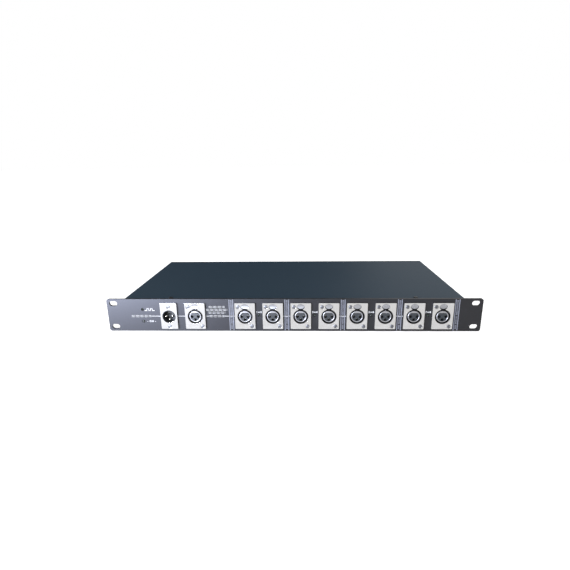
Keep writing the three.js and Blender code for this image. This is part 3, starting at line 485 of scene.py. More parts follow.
@dataclass(frozen=True)
class Finish:
    """A surface: its colour, how it shines, and the grain that its making leaves.

    grain_mm is the size of the fine grain, grain_depth_mm how far that stands out, and mottle
    how far the colour strays, over patches of mottle_mm. run stretches the grain along X, Y, Z.
    shine_level and shine_tint set how strong and which colour the shine of a non-metal is.
    """

    name: str
    colour: str
    metallic: float
    roughness: float
    grain_mm: float = 0.5
    grain_depth_mm: float = 0.0
    mottle: float = 0.08
    mottle_mm: float = 25.0
    roughness_play: float = 0.06
    run: tuple[float, float, float] = (1.0, 1.0, 1.0)
    ior: float = 1.5
    coat: float = 0.0
    see_through: float = 0.0
    shine_level: float = 0.5
    shine_tint: str = "#ffffff"

    def material(self) -> bpy.types.Material:
        """This finish as a material, made once.

        Returns:
            The material, the same one for every piece that has this finish.
        """
        known = bpy.data.materials.get(self.name)
        if known is not None:
            return known
        material = bpy.data.materials.new(self.name)
        material.use_nodes = True
        tree = material.node_tree
        tree.nodes.clear()
        place = add_node(tree, "ShaderNodeTexCoord").outputs["Object"]
        along = add_node(tree, "ShaderNodeMapping", {"Vector": place, "Scale": self.run})
        grain = self.grain(tree, along.outputs["Vector"])
        shader = add_node(
            tree,
            "ShaderNodeBsdfPrincipled",
            {
                "Base Color": self.tone(tree, place),
                "Roughness": self.shine(tree, grain),
                "Metallic": self.metallic,
                "IOR": self.ior,
                "Coat Weight": self.coat,
                "Coat Roughness": self.roughness / 2,
                "Transmission Weight": self.see_through,
                "Specular IOR Level": self.shine_level,
                "Specular Tint": linear(self.shine_tint),
            },
        )
        if self.grain_depth_mm > 0:
            bump = {"Height": grain, "Distance": self.grain_depth_mm * MM, "Strength": 1.0}
            relief = add_node(tree, "ShaderNodeBump", bump)
            tree.links.new(relief.outputs["Normal"], shader.inputs["Normal"])
        add_node(tree, "ShaderNodeOutputMaterial", {"Surface": shader.outputs["BSDF"]})
        return material

    def grain(
        self, tree: bpy.types.NodeTree, place: bpy.types.NodeSocket
    ) -> bpy.types.NodeSocket:
        """The height of the fine grain, from 0 to 1."""
        inputs = {"Vector": place, "Scale": 1 / (self.grain_mm * MM), "Detail": 3.0}
        return add_node(tree, "ShaderNodeTexNoise", inputs).outputs["Fac"]

    def tone(
        self, tree: bpy.types.NodeTree, place: bpy.types.NodeSocket
    ) -> bpy.types.NodeSocket:
        """The base colour, a little darker and lighter in patches.

        Args:
            tree: the material's node tree.
            place: the place on the object.

        Returns:
            The colour's socket.
        """
        inputs = {"Vector": place, "Scale": 1 / (self.mottle_mm * MM), "Detail": 4.0}
        patches = add_node(tree, "ShaderNodeTexNoise", inputs).outputs["Fac"]
        base = linear(self.colour)
        low = tuple(part * (1 - self.mottle) for part in base[:3]) + (1.0,)
        high = tuple(min(part * (1 + self.mottle), 1.0) for part in base[:3]) + (1.0,)
        mix = add_node(
            tree, "ShaderNodeMix", {"Factor": patches}, data_type="RGBA", clamp_factor=True
        )
        for socket in mix.inputs:
            if socket.type == "RGBA":
                socket.default_value = low if socket.name == "A" else high
        return next(out for out in mix.outputs if out.type == "RGBA")

    def shine(
        self, tree: bpy.types.NodeTree, grain: bpy.types.NodeSocket
    ) -> bpy.types.NodeSocket:
        """The roughness, which strays a little with the grain.

        Args:
            tree: the material's node tree.
            grain: the height of the grain.

        Returns:
            The roughness's socket.
        """
        spread = {
            "Value": grain,
            "To Min": max(self.roughness - self.roughness_play, SMOOTHEST),
            "To Max": min(self.roughness + self.roughness_play, 1.0),
        }
        return add_node(tree, "ShaderNodeMapRange", spread).outputs["Result"]


@dataclass(frozen=True)
class Laminate(Finish):
    """Circuit board: solder resist over a woven glass laminate.

    weave_mm is the spacing of the threads. At one sixth the wave texture draws it nearly twice
    as coarse as that, so that it shows.
    """

    weave_mm: float = 1.2
    wave_share: float = 6.0

    def grain(
        self, tree: bpy.types.NodeTree, place: bpy.types.NodeSocket
    ) -> bpy.types.NodeSocket:
        """The weave, as two crossing waves.

        Args:
            tree: the material's node tree.
            place: the place on the object.

        Returns:
            The weave's height.
        """
        scale = 1 / (self.weave_mm * MM * self.wave_share)
        waves = [
            add_node(
                tree,
                "ShaderNodeTexWave",
                {"Vector": place, "Scale": scale, "Distortion": 1.0},
                bands_direction=direction,
            ).outputs["Fac"]
            for direction in ("X", "Y")
        ]
        crossed = add_node(tree, "ShaderNodeMath", dict(enumerate(waves)), operation="MULTIPLY")
        return crossed.outputs["Value"]


@dataclass(frozen=True)
class Wound(Finish):
    """Tape wound round a ring: overlapping turns that fan out from the ring's middle."""

    centre: tuple[float, float] = (0.0, 0.0)
    turns: int = 54

    def grain(
        self, tree: bpy.types.NodeTree, place: bpy.types.NodeSocket
    ) -> bpy.types.NodeSocket:
        """The edges of the turns, by the angle round the ring's middle.

        Args:
            tree: the material's node tree.
            place: the place on the object.

        Returns:
            The height of the tape, from one edge of a turn to the next.
        """
        x, y = self.centre
        about = add_node(
            tree, "ShaderNodeMapping", {"Vector": place, "Location": (-x, -y, 0.0)}
        ).outputs["Vector"]
        parts = add_node(tree, "ShaderNodeSeparateXYZ", {"Vector": about}).outputs
        sides = {0: parts["Y"], 1: parts["X"]}
        angle = add_node(tree, "ShaderNodeMath", sides, operation="ARCTAN2").outputs["Value"]
        scaled = {0: angle, 1: self.turns / (2 * math.pi)}
        count = add_node(tree, "ShaderNodeMath", scaled, operation="MULTIPLY").outputs["Value"]
        return add_node(tree, "ShaderNodeMath", {0: count}, operation="FRACT").outputs["Value"]


# Black anodised aluminium: nearly black, with a broad lilac sheen where a lamp grazes it
PANEL_ANODISING = Finish(
    "black_anodised_aluminium",
    "#0a0a0b",
    metallic=0.0,
    roughness=0.45,
    grain_mm=0.35,
    grain_depth_mm=0.003,
    mottle=0.12,
    mottle_mm=60.0,
    roughness_play=0.04,
    shine_level=0.4,
    shine_tint="#f4f4fc",
)
# Powder-coated steel: slate blue, its shine scattered by the orange peel of a baked coat
CASE_COAT = Finish(
    "slate_powder_coat",
    "#1b2b37",
    metallic=0.0,
    roughness=0.56,
    grain_mm=0.9,
    grain_depth_mm=0.012,
    mottle=0.08,
    mottle_mm=90.0,
    roughness_play=0.05,
    shine_level=0.21,
    shine_tint="#e8f1ff",
)
# Zinc die casting with satin nickel plate: bright and finely pitted, with a soft sheen
SATIN_NICKEL = Finish(
    "satin_nickel_casting",
    "#b5b4b3",
    metallic=1.0,
    roughness=0.22,
    grain_mm=0.4,
    grain_depth_mm=0.004,
    mottle=0.04,
    mottle_mm=12.0,
    roughness_play=0.03,
)
# The same nickel plate with a greyer colour, which is painted dark reflection: it stands in for
# the dark surroundings that the barrels and tabs mirror. Its shine is duller too.
NICKEL_PAINTED_DARK_REFLECTION = Finish(
    "nickel_painted_dark_reflection",
    "#8b8b8d",
    metallic=1.0,
    roughness=0.4,
    grain_mm=0.3,
    grain_depth_mm=0.003,
    mottle=0.12,
    mottle_mm=3.0,
    roughness_play=0.06,
)
# Moulded black nylon: a dull black with a faint spark-eroded grain
BLACK_NYLON = Finish(
    "black_nylon",
    "#1e1f22",
    metallic=0.0,
    roughness=0.42,
    grain_mm=0.3,
    grain_depth_mm=0.006,
    mottle=0.15,
    mottle_mm=8.0,
)
# Moulded slate nylon of the sockets' inserts: a bluish dark grey, duller than the black
SLATE_NYLON = replace(
    BLACK_NYLON, name="slate_nylon", colour="#172028", roughness=0.55, mottle_mm=6.0
)
# Silver-plated brass, turned: bright, with fine rings from the tool
SILVER_CONTACT = Finish(
    "silver_plated_brass",
    "#cfcdc6",
    metallic=1.0,
    roughness=0.22,
    grain_mm=0.2,
    grain_depth_mm=0.002,
    mottle=0.05,
    mottle_mm=3.0,
    roughness_play=0.05,
    run=(1.0, 4.0, 1.0),
)
# Screen-printed ink: flat and slightly blue, with soft edges of pigment
PRINT_INK = Finish(
    "white_screen_ink",
    "#eceff8",
    metallic=0.0,
    roughness=0.62,
    grain_mm=0.3,
    grain_depth_mm=0.002,
    mottle=0.1,
    mottle_mm=5.0,
)
# The same ink tinted lilac, for the strips between the pairs
STRIP_INK = replace(PRINT_INK, name="lilac_screen_ink", colour="#9a9fb3")
# Zinc-plated steel screws: a grey, slightly cloudy metal
ZINC_SCREW = Finish(
    "zinc_plated_screw",
    "#606062",
    metallic=1.0,
    roughness=0.52,
    grain_mm=0.25,
    grain_depth_mm=0.004,
    mottle=0.15,
    mottle_mm=2.0,
    roughness_play=0.08,
)
# Blackened steel screws: an oily, nearly black metal
BLACK_SCREW = replace(
    ZINC_SCREW,
    name="blackened_steel_screw",
    colour="#1c1e21",
    metallic=0.6,
    roughness=0.42,
    mottle=0.12,
)
# Tinted epoxy of an unlit lamp: a glossy dark green
LAMP_EPOXY = Finish(
    "tinted_epoxy_lamp",
    "#26352a",
    metallic=0.0,
    roughness=0.12,
    mottle=0.1,
    mottle_mm=2.0,
    roughness_play=0.03,
    coat=0.4,
)
# Zinc-plated sheet and fixings inside: a cool metal with faint spangle
ZINC_STEEL = Finish(
    "zinc_plated_steel",
    "#a9afb3",
    metallic=1.0,
    roughness=0.38,
    grain_mm=0.5,
    grain_depth_mm=0.004,
    mottle=0.1,
    mottle_mm=6.0,
    roughness_play=0.08,
)
# Drawn glass of the fuse tube: clear, with the faint waves of drawing
FUSE_GLASS = Finish(
    "drawn_fuse_glass",
    "#e4e8e6",
    metallic=0.0,
    roughness=0.06,
    mottle=0.02,
    mottle_mm=5.0,
    roughness_play=0.02,
    see_through=0.9,
)
# Green solder resist on woven glass laminate: a satin green over a fine weave
BOARD = Laminate(
    "green_solder_resist",
    "#1d5a37",
    metallic=0.0,
    roughness=0.38,
    grain_mm=1.0,
    grain_depth_mm=0.01,
    mottle=0.1,
    mottle_mm=10.0,
)


def wire_cover(name: str, colour: str) -> Finish:
    """Soft PVC round a wire: slightly glossy, with the ripple of extrusion.

    Args:
        name: the material's name.
        colour: the PVC's colour.

    Returns:
        The finish.
    """
    return Finish(
        name,
        colour,
        metallic=0.0,
        roughness=0.42,
        grain_mm=0.8,
        grain_depth_mm=0.01,
        mottle_mm=10.0,
    )


BROWN_WIRE = wire_cover("brown_pvc_wire", "#5a3216")
BLUE_WIRE = wire_cover("blue_pvc_wire", "#1c5fa8")
GREEN_WIRE = wire_cover("green_pvc_wire", "#3d8f2c")
GREY_WIRE = wire_cover("grey_pvc_wire", "#8f9296")


# Pieces

# The angle, in degrees, up to which neighbouring faces shade as one
SMOOTH_UNDER = 32


def put(
    name: str,
    solid: bmesh.types.BMesh,
    finish: Finish,
    body: str,
    origin: Sequence[float] = (0, 0, 0),
    replaces: Sequence[str] = (),
) -> None:
    """Makes a finished piece and lets it ride on its body.

    Args:
        name: the piece's name.
        solid: its shape in millimetres, used up here.
        finish: its surface.
        body: the CAD body that it moves with.
        origin: where the solid's own origin lies, in metres.
        replaces: the CAD nodes that it stands for.
    """
    matrix = Matrix.Translation(origin) @ Matrix.Diagonal((MM, MM, MM, 1))
    bmesh.ops.transform(solid, matrix=matrix, verts=solid.verts)
    for face in solid.faces:
        face.smooth = True
    mesh = bpy.data.meshes.new(name)
    solid.to_mesh(mesh)
    solid.free()
    mesh.set_sharp_from_angle(angle=math.radians(SMOOTH_UNDER))
    mesh.materials.append(finish.material())
    piece = bpy.data.objects.new(name, mesh)
    bpy.context.scene.collection.objects.link(piece)
    shading = piece.modifiers.new("even_shading", "WEIGHTED_NORMAL")
    shading.keep_sharp = True
    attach(piece, body)
    if replaces:
        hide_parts(*replaces)
    LOG.info("%s: %d faces on %s", name, len(mesh.polygons), body)


def dress(node: str, finish: Finish) -> None:
    """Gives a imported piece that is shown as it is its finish.

    Args:
        node: the piece's name.
        finish: its surface.
    """
    materials = FRAME["nodes"][node].data.materials
    materials.clear()
    materials.append(finish.material())


def middle(node: str, axis: int) -> float:
    """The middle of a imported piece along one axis, in metres."""
    low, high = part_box(node)
    return (low[axis] + high[axis]) / 2


def screw_head(
    radius: float, height: float, arm: float, slot_width: float, depth: float
) -> bmesh.types.BMesh:
    """A cross-recessed screw head that faces -Y, seated on Y zero.

    Args:
        radius: of the head.
        height: of the head above its seat.
        arm: length of the cross's arms from its middle.
        slot_width: width of the arms.
        depth: how deep the cross goes.

    Returns:
        The head as a solid.
    """
    dome = ((1, 0), (1, 0.35), (0.93, 0.68), (0.78, 0.92), (0.55, 1), (0, 1))
    profile = [(radius * across, -height * up) for across, up in dome]
    head = turned([(0, 0), *profile], segments=32)
    arms = [(2 * arm, slot_width), (slot_width, 2 * arm)]
    cross = [block((x, 2 * depth, z), (0, -height, 0)) for x, z in arms]
    return carve(head, cross)


# Sub-assemblies


@dataclass(frozen=True)
class Screws:
    """The cross-recessed screws that hold a flange or the cover."""

    radius: float = 2.35
    height: float = 0.6
    arm: float = 1.3
    slot_width: float = 0.6
    depth: float = 0.5

    def on_front(
        self, places: Iterable[tuple[float, float]], seat: float, turn: float
    ) -> bmesh.types.BMesh:
        """Heads seated on a face that looks to the front.

        Args:
            places: X and Z of each screw.
            seat: the Y of the face.
            turn: how far each cross is turned from the last, in degrees.

        Returns:
            The heads as one bmesh.
        """
        heads = []
        for index, (x, z) in enumerate(places):
            spin = Matrix.Rotation(math.radians(turn * (index + 1)), 4, "Y")
            heads.append(placed(self.head(), Matrix.Translation((x, seat, z)) @ spin))
        return gathered(heads)

    def on_top(
        self, places: Iterable[tuple[float, float]], seat: float, turn: float
    ) -> bmesh.types.BMesh:
        """Heads seated on a face that looks up.

        Args:
            places: X and Y of each screw.
            seat: the Z of the face.
            turn: how far each cross is turned from the last, in degrees.

        Returns:
            The heads as one bmesh.
        """
        heads = []
        upward = Matrix.Rotation(math.radians(-90), 4, "X")
        for index, (x, y) in enumerate(places):
            spin = Matrix.Rotation(math.radians(turn * (index + 1)), 4, "Z")
            heads.append(placed(self.head(), Matrix.Translation((x, y, seat)) @ spin @ upward))
        return gathered(heads)

    def head(self) -> bmesh.types.BMesh:
        """One head."""
        return screw_head(self.radius, self.height, self.arm, self.slot_width, self.depth)


@dataclass
class FrontPanel:
    """The slotted panel and the print on it, in millimetres from its lower edge and middle."""

    # The plate and its openings
    corner: float = 3.0
    bevel: float = 0.45
    slot_inset: float = 8.75
    slot_spacing: float = 31.75
    slot_size: tuple[float, float] = (10.3, 6.6)
    slot_end_flat: float = 0.02
    lamp_hole: float = 1.75
    input_hole: float = 10.95
    socket_opening: tuple[float, float] = (24.0, 30.0)
    socket_opening_corner: float = 3.0
    socket_opening_rise: float = 3.0
    # The signal line, and how far it stays clear of the connectors' axes
    print_thick: float = 0.03
    line_width: float = 0.8
    plug_half: float = 11.8
    socket_half: float = 13.9
    line_before_plug: float = 12.0
    line_after_thru: float = 5.0
    line_before_outputs: float = 13.0
    # The strips between the pairs, and the dashes in each by their start and count
    strip_count: int = 5
    strip_line: float = 1.0
    strip_half: float = 2.4
    strip_inset: float = 0.8
    dash: tuple[float, float] = (2.2, 0.8)
    dash_pitch: float = 1.6
    dash_groups: tuple[tuple[float, int], ...] = ((3.4, 4), (10.8, 4), (18.0, 2), (22.6, 13))
    # Numbers and signs
    figure_height: float = 2.4
    figure_heavier: float = 0.2
    figure_spread: float = 1.25
    figure_rise: float = 5.4
    pair_half: float = 2.6
    sign_stroke: float = 1.1
    wave_start: float = 3.4
    wave_step: float = 2.4
    wave_height: float = 2.6
    wave_levels: int = 5
    power_sign_middle: float = 10.5
    # Chains of boxes and triangles: before the plug, and after the through socket
    row_height: float = 2.9
    row_pitch: float = 3.9
    row_lift: float = 0.8
    box_share: float = 0.85
    input_row: tuple[float, float] = (-50.0, -24.0)
    row_centre: float = 28.3
    row_halves: tuple[float, ...] = (9.5, 11.0, 14.0, 10.5)
    # Taken from the frame
    width: float = field(init=False)
    height: float = field(init=False)
    thick: float = field(init=False)
    front: float = field(init=False)

    def __post_init__(self) -> None:
        """Takes the panel's size from the frame."""
        low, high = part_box("front_panel")
        self.width = (high[0] - low[0]) * TO_MM
        self.height = (high[2] - low[2]) * TO_MM
        self.thick = (high[1] - low[1]) * TO_MM
        self.front = low[1]

    def build(self, plug_x: float, socket_xs: Sequence[float], line: float) -> None:
        """Makes the plate and its print.

        Args:
            plug_x: X of the input plug.
            socket_xs: X of each socket, the through socket first.
            line: height of the connectors' axes.
        """
        plate = prism(
            Rounded(self.width, self.height, self.corner, 0, self.height / 2), 0, self.thick
        )
        openings: list[Outline] = []
        for side in (-1, 1):
            for level in (-1, 1):
                x = side * (self.width / 2 - self.slot_inset)
                z = self.height / 2 + level * self.slot_spacing / 2
                width, height = self.slot_size
                end = (height - self.slot_end_flat) / 2
                openings.append(Rounded(width, height, end, x, z))
        openings.append(Round(self.input_hole, plug_x, line))
        for x in socket_xs:
            rise = line + self.socket_opening_rise
            corner = self.socket_opening_corner
            openings.append(Rounded(*self.socket_opening, corner, x, rise))
        for x, z in lamp_places():
            openings.append(Round(self.lamp_hole, x, z, segments=24))
        through = (-OVERRUN, self.thick + OVERRUN)
        plate = carve(plate, [prism(each, *through) for each in openings])
        plate = softened(plate, self.bevel, segments=3, sharper_than=60)
        origin = (0, self.front, 0)
        put("front_plate", plate, PANEL_ANODISING, CASE, origin, ["front_panel"])
        marks = self.signal_line(plug_x, socket_xs, line) + self.figures(plug_x, socket_xs, line)
        strips = gathered(self.strips(socket_xs))
        put("panel_strips", strips, STRIP_INK, CASE, origin)
        put("panel_signs", gathered(marks), PRINT_INK, CASE, origin)

    def mark(self, x: float, z: float, width: float, height: float) -> bmesh.types.BMesh:
        """A printed bar of that size about that point."""
        return block((width, 2 * self.print_thick, height), (x, 0, z))

    def strips(self, socket_xs: Sequence[float]) -> list[bmesh.types.BMesh]:
        """The double lines between the pairs of outputs, with a ladder of dashes in each.

        Args:
            socket_xs: X of each socket, the through socket first.

        Returns:
            The printed bars.
        """
        outputs = socket_xs[1:]
        pitch = outputs[1] - outputs[0]
        first = outputs[0] - pitch / 2
        tall = self.height - 2 * self.strip_inset
        marks = []
        for x in (first + 2 * pitch * index for index in range(self.strip_count)):
            for edge in (x - self.strip_half, x + self.strip_half):
                marks.append(self.mark(edge, self.height / 2, self.strip_line, tall))
            marks += self.ladder(x)
        return marks

    def ladder(self, x: float) -> list[bmesh.types.BMesh]:
        """Short dashes down the middle of a strip, in groups.

        Args:
            x: the strip's middle.

        Returns:
            The printed bars.
        """
        levels = [
            start + index * self.dash_pitch
            for start, count in self.dash_groups
            for index in range(count)
        ]
        return [self.mark(x, level, *self.dash) for level in levels]

    def signal_line(
        self, plug_x: float, socket_xs: Sequence[float], line: float
    ) -> list[bmesh.types.BMesh]:
        """The thin line that joins the connectors, pair by pair.

        Args:
            plug_x: X of the input plug.
            socket_xs: X of each socket, the through socket first.
            line: height of the connectors' axes.

        Returns:
            The printed bars.
        """
        plug_half, socket_half = self.plug_half, self.socket_half
        thru, *outputs = socket_xs
        after_thru = thru + socket_half
        outputs_start = outputs[0] - socket_half
        spans = [
            (plug_x - plug_half - self.line_before_plug, plug_x - plug_half),
            (plug_x + plug_half, thru - socket_half),
            (after_thru, after_thru + self.line_after_thru),
            (outputs_start - self.line_before_outputs, outputs_start),
        ]
        for left, right in zip(outputs[1:-1:2], outputs[2::2]):
            spans.append((left + socket_half, right - socket_half))
        return [
            self.mark((start + end) / 2, line, end - start, self.line_width)
            for start, end in spans
        ]

    def figures(
        self, plug_x: float, socket_xs: Sequence[float], line: float
    ) -> list[bmesh.types.BMesh]:
        """Plain numbers over each pair of outputs, and plain signs for the rest.

        Args:
            plug_x: X of the input plug.
            socket_xs: X of each socket, the through socket first.
            line: height of the connectors' axes.

        Returns:
            The printed numbers and signs.
        """
        thru, *outputs = socket_xs
        marks = []
        for index in range(0, len(outputs), 2):
            marks += self.pair_sign(index, (outputs[index] + outputs[index + 1]) / 2, line)
        lamp_x, data_z, power_z = self.left_lamps()
        marks += self.pulses(lamp_x + self.wave_start, data_z - self.row_height / 2)
        marks.append(self.figure("- ON -", lamp_x + self.power_sign_middle, power_z))
        start, end = self.input_row
        marks += self.row(plug_x + start, plug_x + end, line)
        middle_x = thru + self.row_centre
        for level, half in enumerate(self.row_halves):
            rise = self.row_lift * (level > 0) + level * self.row_pitch
            marks += self.row(middle_x - half, middle_x + half, line + rise)
        return marks

    def left_lamps(self) -> tuple[float, float, float]:
        """X of the data and power lamps, and the height of each."""
        x = middle("data_lamp", 0) * TO_MM
        return x, middle("data_lamp", 2) * TO_MM, middle("power_lamp", 2) * TO_MM

    def pulses(self, x: float, z: float) -> list[bmesh.types.BMesh]:
        """A square wave, for data.

        Args:
            x: its left end.
            z: its lower level.

        Returns:
            The printed bars.
        """
        stroke, tall, step = self.sign_stroke, self.wave_height, self.wave_step
        marks = []
        for index in range(self.wave_levels):
            level = z + tall * (index % 2)
            start = x + index * step
            marks.append(self.mark(start + step / 2, level, step + stroke, stroke))
            if index:
                marks.append(self.mark(start, z + tall / 2, stroke, tall))
        return marks

    def pair_sign(self, index: int, x: float, line: float) -> list[bmesh.types.BMesh]:
        """The numbers of two neighbouring outputs, with a dash between them.

        Args:
            index: the first output's place in the row, from zero.
            x: the middle of the pair.
            line: height of the connectors' axes.

        Returns:
            Both numbers and the dash.
        """
        level = line + self.figure_rise
        first = self.figure(str(index + 1), x - self.pair_half, level)
        second = self.figure(str(index + 2), x + self.pair_half, level)
        return [first, self.mark(x, level, self.pair_half, self.sign_stroke), second]

    def row(self, start: float, end: float, z: float) -> list[bmesh.types.BMesh]:
        """A chain of plain signs along a line: boxes and triangles in turn.

        Args:
            start: X of its left end.
            end: X of its right end.
            z: its height.

        Returns:
            The printed line and signs.
        """
        count = round((end - start) / self.row_height)
        step = (end - start) / count
        chain = [self.mark((start + end) / 2, z, end - start, self.sign_stroke)]
        for index in range(count):
            left = start + index * step
            if index % 2:
                chain.append(self.triangle(left, left + step, z, self.row_height / 2))
            else:
                width, height = self.box_share * step, self.box_share * self.row_height
                chain.append(self.mark(left + step / 2, z, width, height))
        return chain

    def triangle(self, left: float, right: float, z: float, half: float) -> bmesh.types.BMesh:
        """A printed triangle with its point to the right."""
        corners = Corners(((left, z - half), (right, z), (left, z + half)))
        return prism(corners, -self.print_thick, self.print_thick)

    def figure(self, text: str, x: float, z: float) -> bmesh.types.BMesh:
        """One printed number or sign."""
        thick, heavier, spread = self.print_thick, self.figure_heavier, self.figure_spread
        return lettered(text, self.figure_height, x, z, thick, heavier, spread)


def lamp_nodes() -> list[str]:
    """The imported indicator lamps, by name."""
    return sorted(name for name in FRAME["nodes"] if "lamp" in name)


def lamp_places() -> list[tuple[float, float]]:
    """X and Z of each indicator lamp, in millimetres."""
    return [(middle(name, 0) * TO_MM, middle(name, 2) * TO_MM) for name in lamp_nodes()]


@dataclass
class Connector:
    """What the plug and the sockets share: a flange with two screws, about the connector's axis.

    Sizes are in millimetres: X and Z from the axis, and Y from the panel's face backwards.
    """

    name: str
    flange_width: float
    flange_height: float = 35.3
    flange_rise: float = 0.7
    flange_front: float = -2.3
    flange_corner: float = 0.9
    flange_bevel: float = 0.25
    countersink: float = 2.75
    countersink_depth: float = 0.7
    contact_circle: float = 4.05
    tail_radius: float = 1.0
    tail_back: float = 21.4

    def origin(self) -> tuple[float, float, float]:
        """The axis, at the panel's face, in metres."""
        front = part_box("front_panel")[0][1]
        return middle(f"{self.name}_shell", 0), front, middle(f"{self.name}_insert", 2)

    def screw_places(self) -> list[tuple[float, float]]:
        """X and Z of the flange's screws."""
        raise NotImplementedError

    def contact_places(self) -> list[tuple[float, float]]:
        """X and Z of contacts one, two and three."""
        reach = self.contact_circle
        return [(-reach, 0), (reach, 0), (0, -reach)]

    def flange(self, openings: Sequence[Outline]) -> bmesh.types.BMesh:
        """The flange plate, with the countersinks of its screws.

        Args:
            openings: what is cut through it.

        Returns:
            The plate.
        """
        outline = Rounded(
            self.flange_width, self.flange_height, self.flange_corner, 0, self.flange_rise
        )
        plate = prism(outline, self.flange_front, 0)
        tools = [prism(each, self.flange_front - OVERRUN, OVERRUN) for each in openings]
        sink = self.flange_front + self.countersink_depth
        for x, z in self.screw_places():
            hole = Round(self.countersink, x, z, segments=32)
            tools.append(prism(hole, self.flange_front - OVERRUN, sink))
        return softened(carve(plate, tools), self.flange_bevel, sharper_than=50)

    def screws(self, origin: Sequence[float], turn: float) -> None:
        """The flange's two screws, a little under its face.

        Args:
            origin: the connector's axis at the panel's face, in metres.
            turn: how far each cross is turned from the last, in degrees.
        """
        seat = self.flange_front + self.countersink_depth
        heads = Screws().on_front(self.screw_places(), seat, turn)
        name = f"{self.name}_screws"
        put(name, heads, ZINC_SCREW, CASE, origin)


@dataclass
class Plug(Connector):
    """The male input: a flange, a cup with its key, and three pins."""

    flange_width: float = 21.8
    screw_reach: float = 13.5
    # The cup, its edges, and its play in the flange and in the tube behind that
    cup_outer: float = 8.6
    cup_inner: float = 8.05
    cup_floor: float = 9.7
    cup_back: float = 12.7
    rim_proud: float = 0.15
    edge: float = 0.15
    inner_edge: tuple[float, float] = (0.12, 0.2)
    floor_edge: float = 0.2
    flange_play: float = 0.15
    tube_play: float = 0.2
    tube_gap: float = 0.3
    shoulder: float = 10.65
    shoulder_front: float = 9.0
    # The key, which is sunk into the cup's wall
    key_width: float = 2.6
    key_height: float = 0.95
    key_bed: float = 0.25
    key_setback: float = 0.4
    key_edge: float = 0.25
    # The raised ring at each pin, and the pins
    collar: float = 1.95
    collar_rise: float = 0.5
    collar_edge: float = 0.2
    pin_radius: float = 1.15
    pin_tip: float = -0.4
    pin_seat: float = 0.3
    nose_steps: int = 6

    def screw_places(self) -> list[tuple[float, float]]:
        """The plug's screws stand above and below its axis."""
        return [(0, self.screw_reach), (0, -self.screw_reach)]

    def build(self) -> None:
        """Makes the plug's pieces."""
        origin = self.origin()
        shell = self.flange([Round(self.cup_outer + self.flange_play)])
        hollow = self.cup_outer + self.tube_play
        end = self.shoulder_front - self.tube_gap
        tube = turned(
            [(hollow, 0), (self.shoulder, 0), (self.shoulder, end), (hollow, end), (hollow, 0)]
        )
        put("input_flange", shell, SATIN_NICKEL, CASE, origin, ["input_shell"])
        put("input_tube", tube, SATIN_NICKEL, CASE, origin)
        put("input_cup", self.cup(), BLACK_NYLON, CASE, origin, ["input_insert"])
        for index, (x, z) in enumerate(self.contact_places()):
            pin = shifted(self.pin(), x, 0, z)
            name, node = f"input_contact_{index + 1}", [f"input_pin_{index + 1}"]
            put(name, pin, SILVER_CONTACT, CASE, origin, node)
        self.screws(origin, PLUG_TURN)

    def cup(self) -> bmesh.types.BMesh:
        """The black cup: a rounded rim, the key along its top, and a raised ring at each pin.

        Returns:
            The cup as one solid.
        """
        inner, outer, rim = self.cup_inner, self.cup_outer, self.flange_front - self.rim_proud
        lip, lip_depth = self.inner_edge
        body = turned(
            [
                (0, self.cup_floor),
                (inner - self.floor_edge, self.cup_floor),
                (inner, self.cup_floor - self.floor_edge),
                (inner, rim + lip_depth),
                (inner + lip, rim),
                (outer - self.edge, rim),
                (outer, rim + self.edge),
                (outer, self.shoulder_front),
                (self.shoulder, self.shoulder_front),
                (self.shoulder, self.cup_back),
                (0, self.cup_back),
            ],
            segments=64,
        )
        reach = self.cup_floor - self.flange_front
        tall = self.key_height + self.key_bed
        front = self.flange_front + self.key_setback
        key = block(
            (self.key_width, reach, tall),
            (0, front + reach / 2, inner - self.key_height + tall / 2),
        )
        collars = [shifted(self.collar_ring(), x, 0, z) for x, z in self.contact_places()]
        return carve(body, [softened(key, self.key_edge), *collars], Cut.TOGETHER)

    def collar_ring(self) -> bmesh.types.BMesh:
        """The raised ring that a pin stands in, with its edge taken off.

        Returns:
            The ring as a solid, on the connector's axis.
        """
        front, edge = self.cup_floor - self.collar_rise, self.collar_edge
        back = self.cup_floor + edge
        rim = [(self.collar - edge, front), (self.collar, front + edge), (self.collar, back)]
        return turned([(0, front), *rim, (0, back)], segments=24)

    def pin(self) -> bmesh.types.BMesh:
        """One pin, with a round nose and a thinner tail.

        Returns:
            The pin, on the connector's axis.
        """
        radius, tail, seat = self.pin_radius, self.tail_radius, self.cup_back + self.pin_seat
        angles = [math.pi / 2 * step / self.nose_steps for step in range(self.nose_steps + 1)]
        nose = [(radius * math.sin(a), self.pin_tip + radius * (1 - math.cos(a))) for a in angles]
        back = [(radius, seat), (tail, seat), (tail, self.tail_back), (0, self.tail_back)]
        return turned([*nose, *back], segments=28)


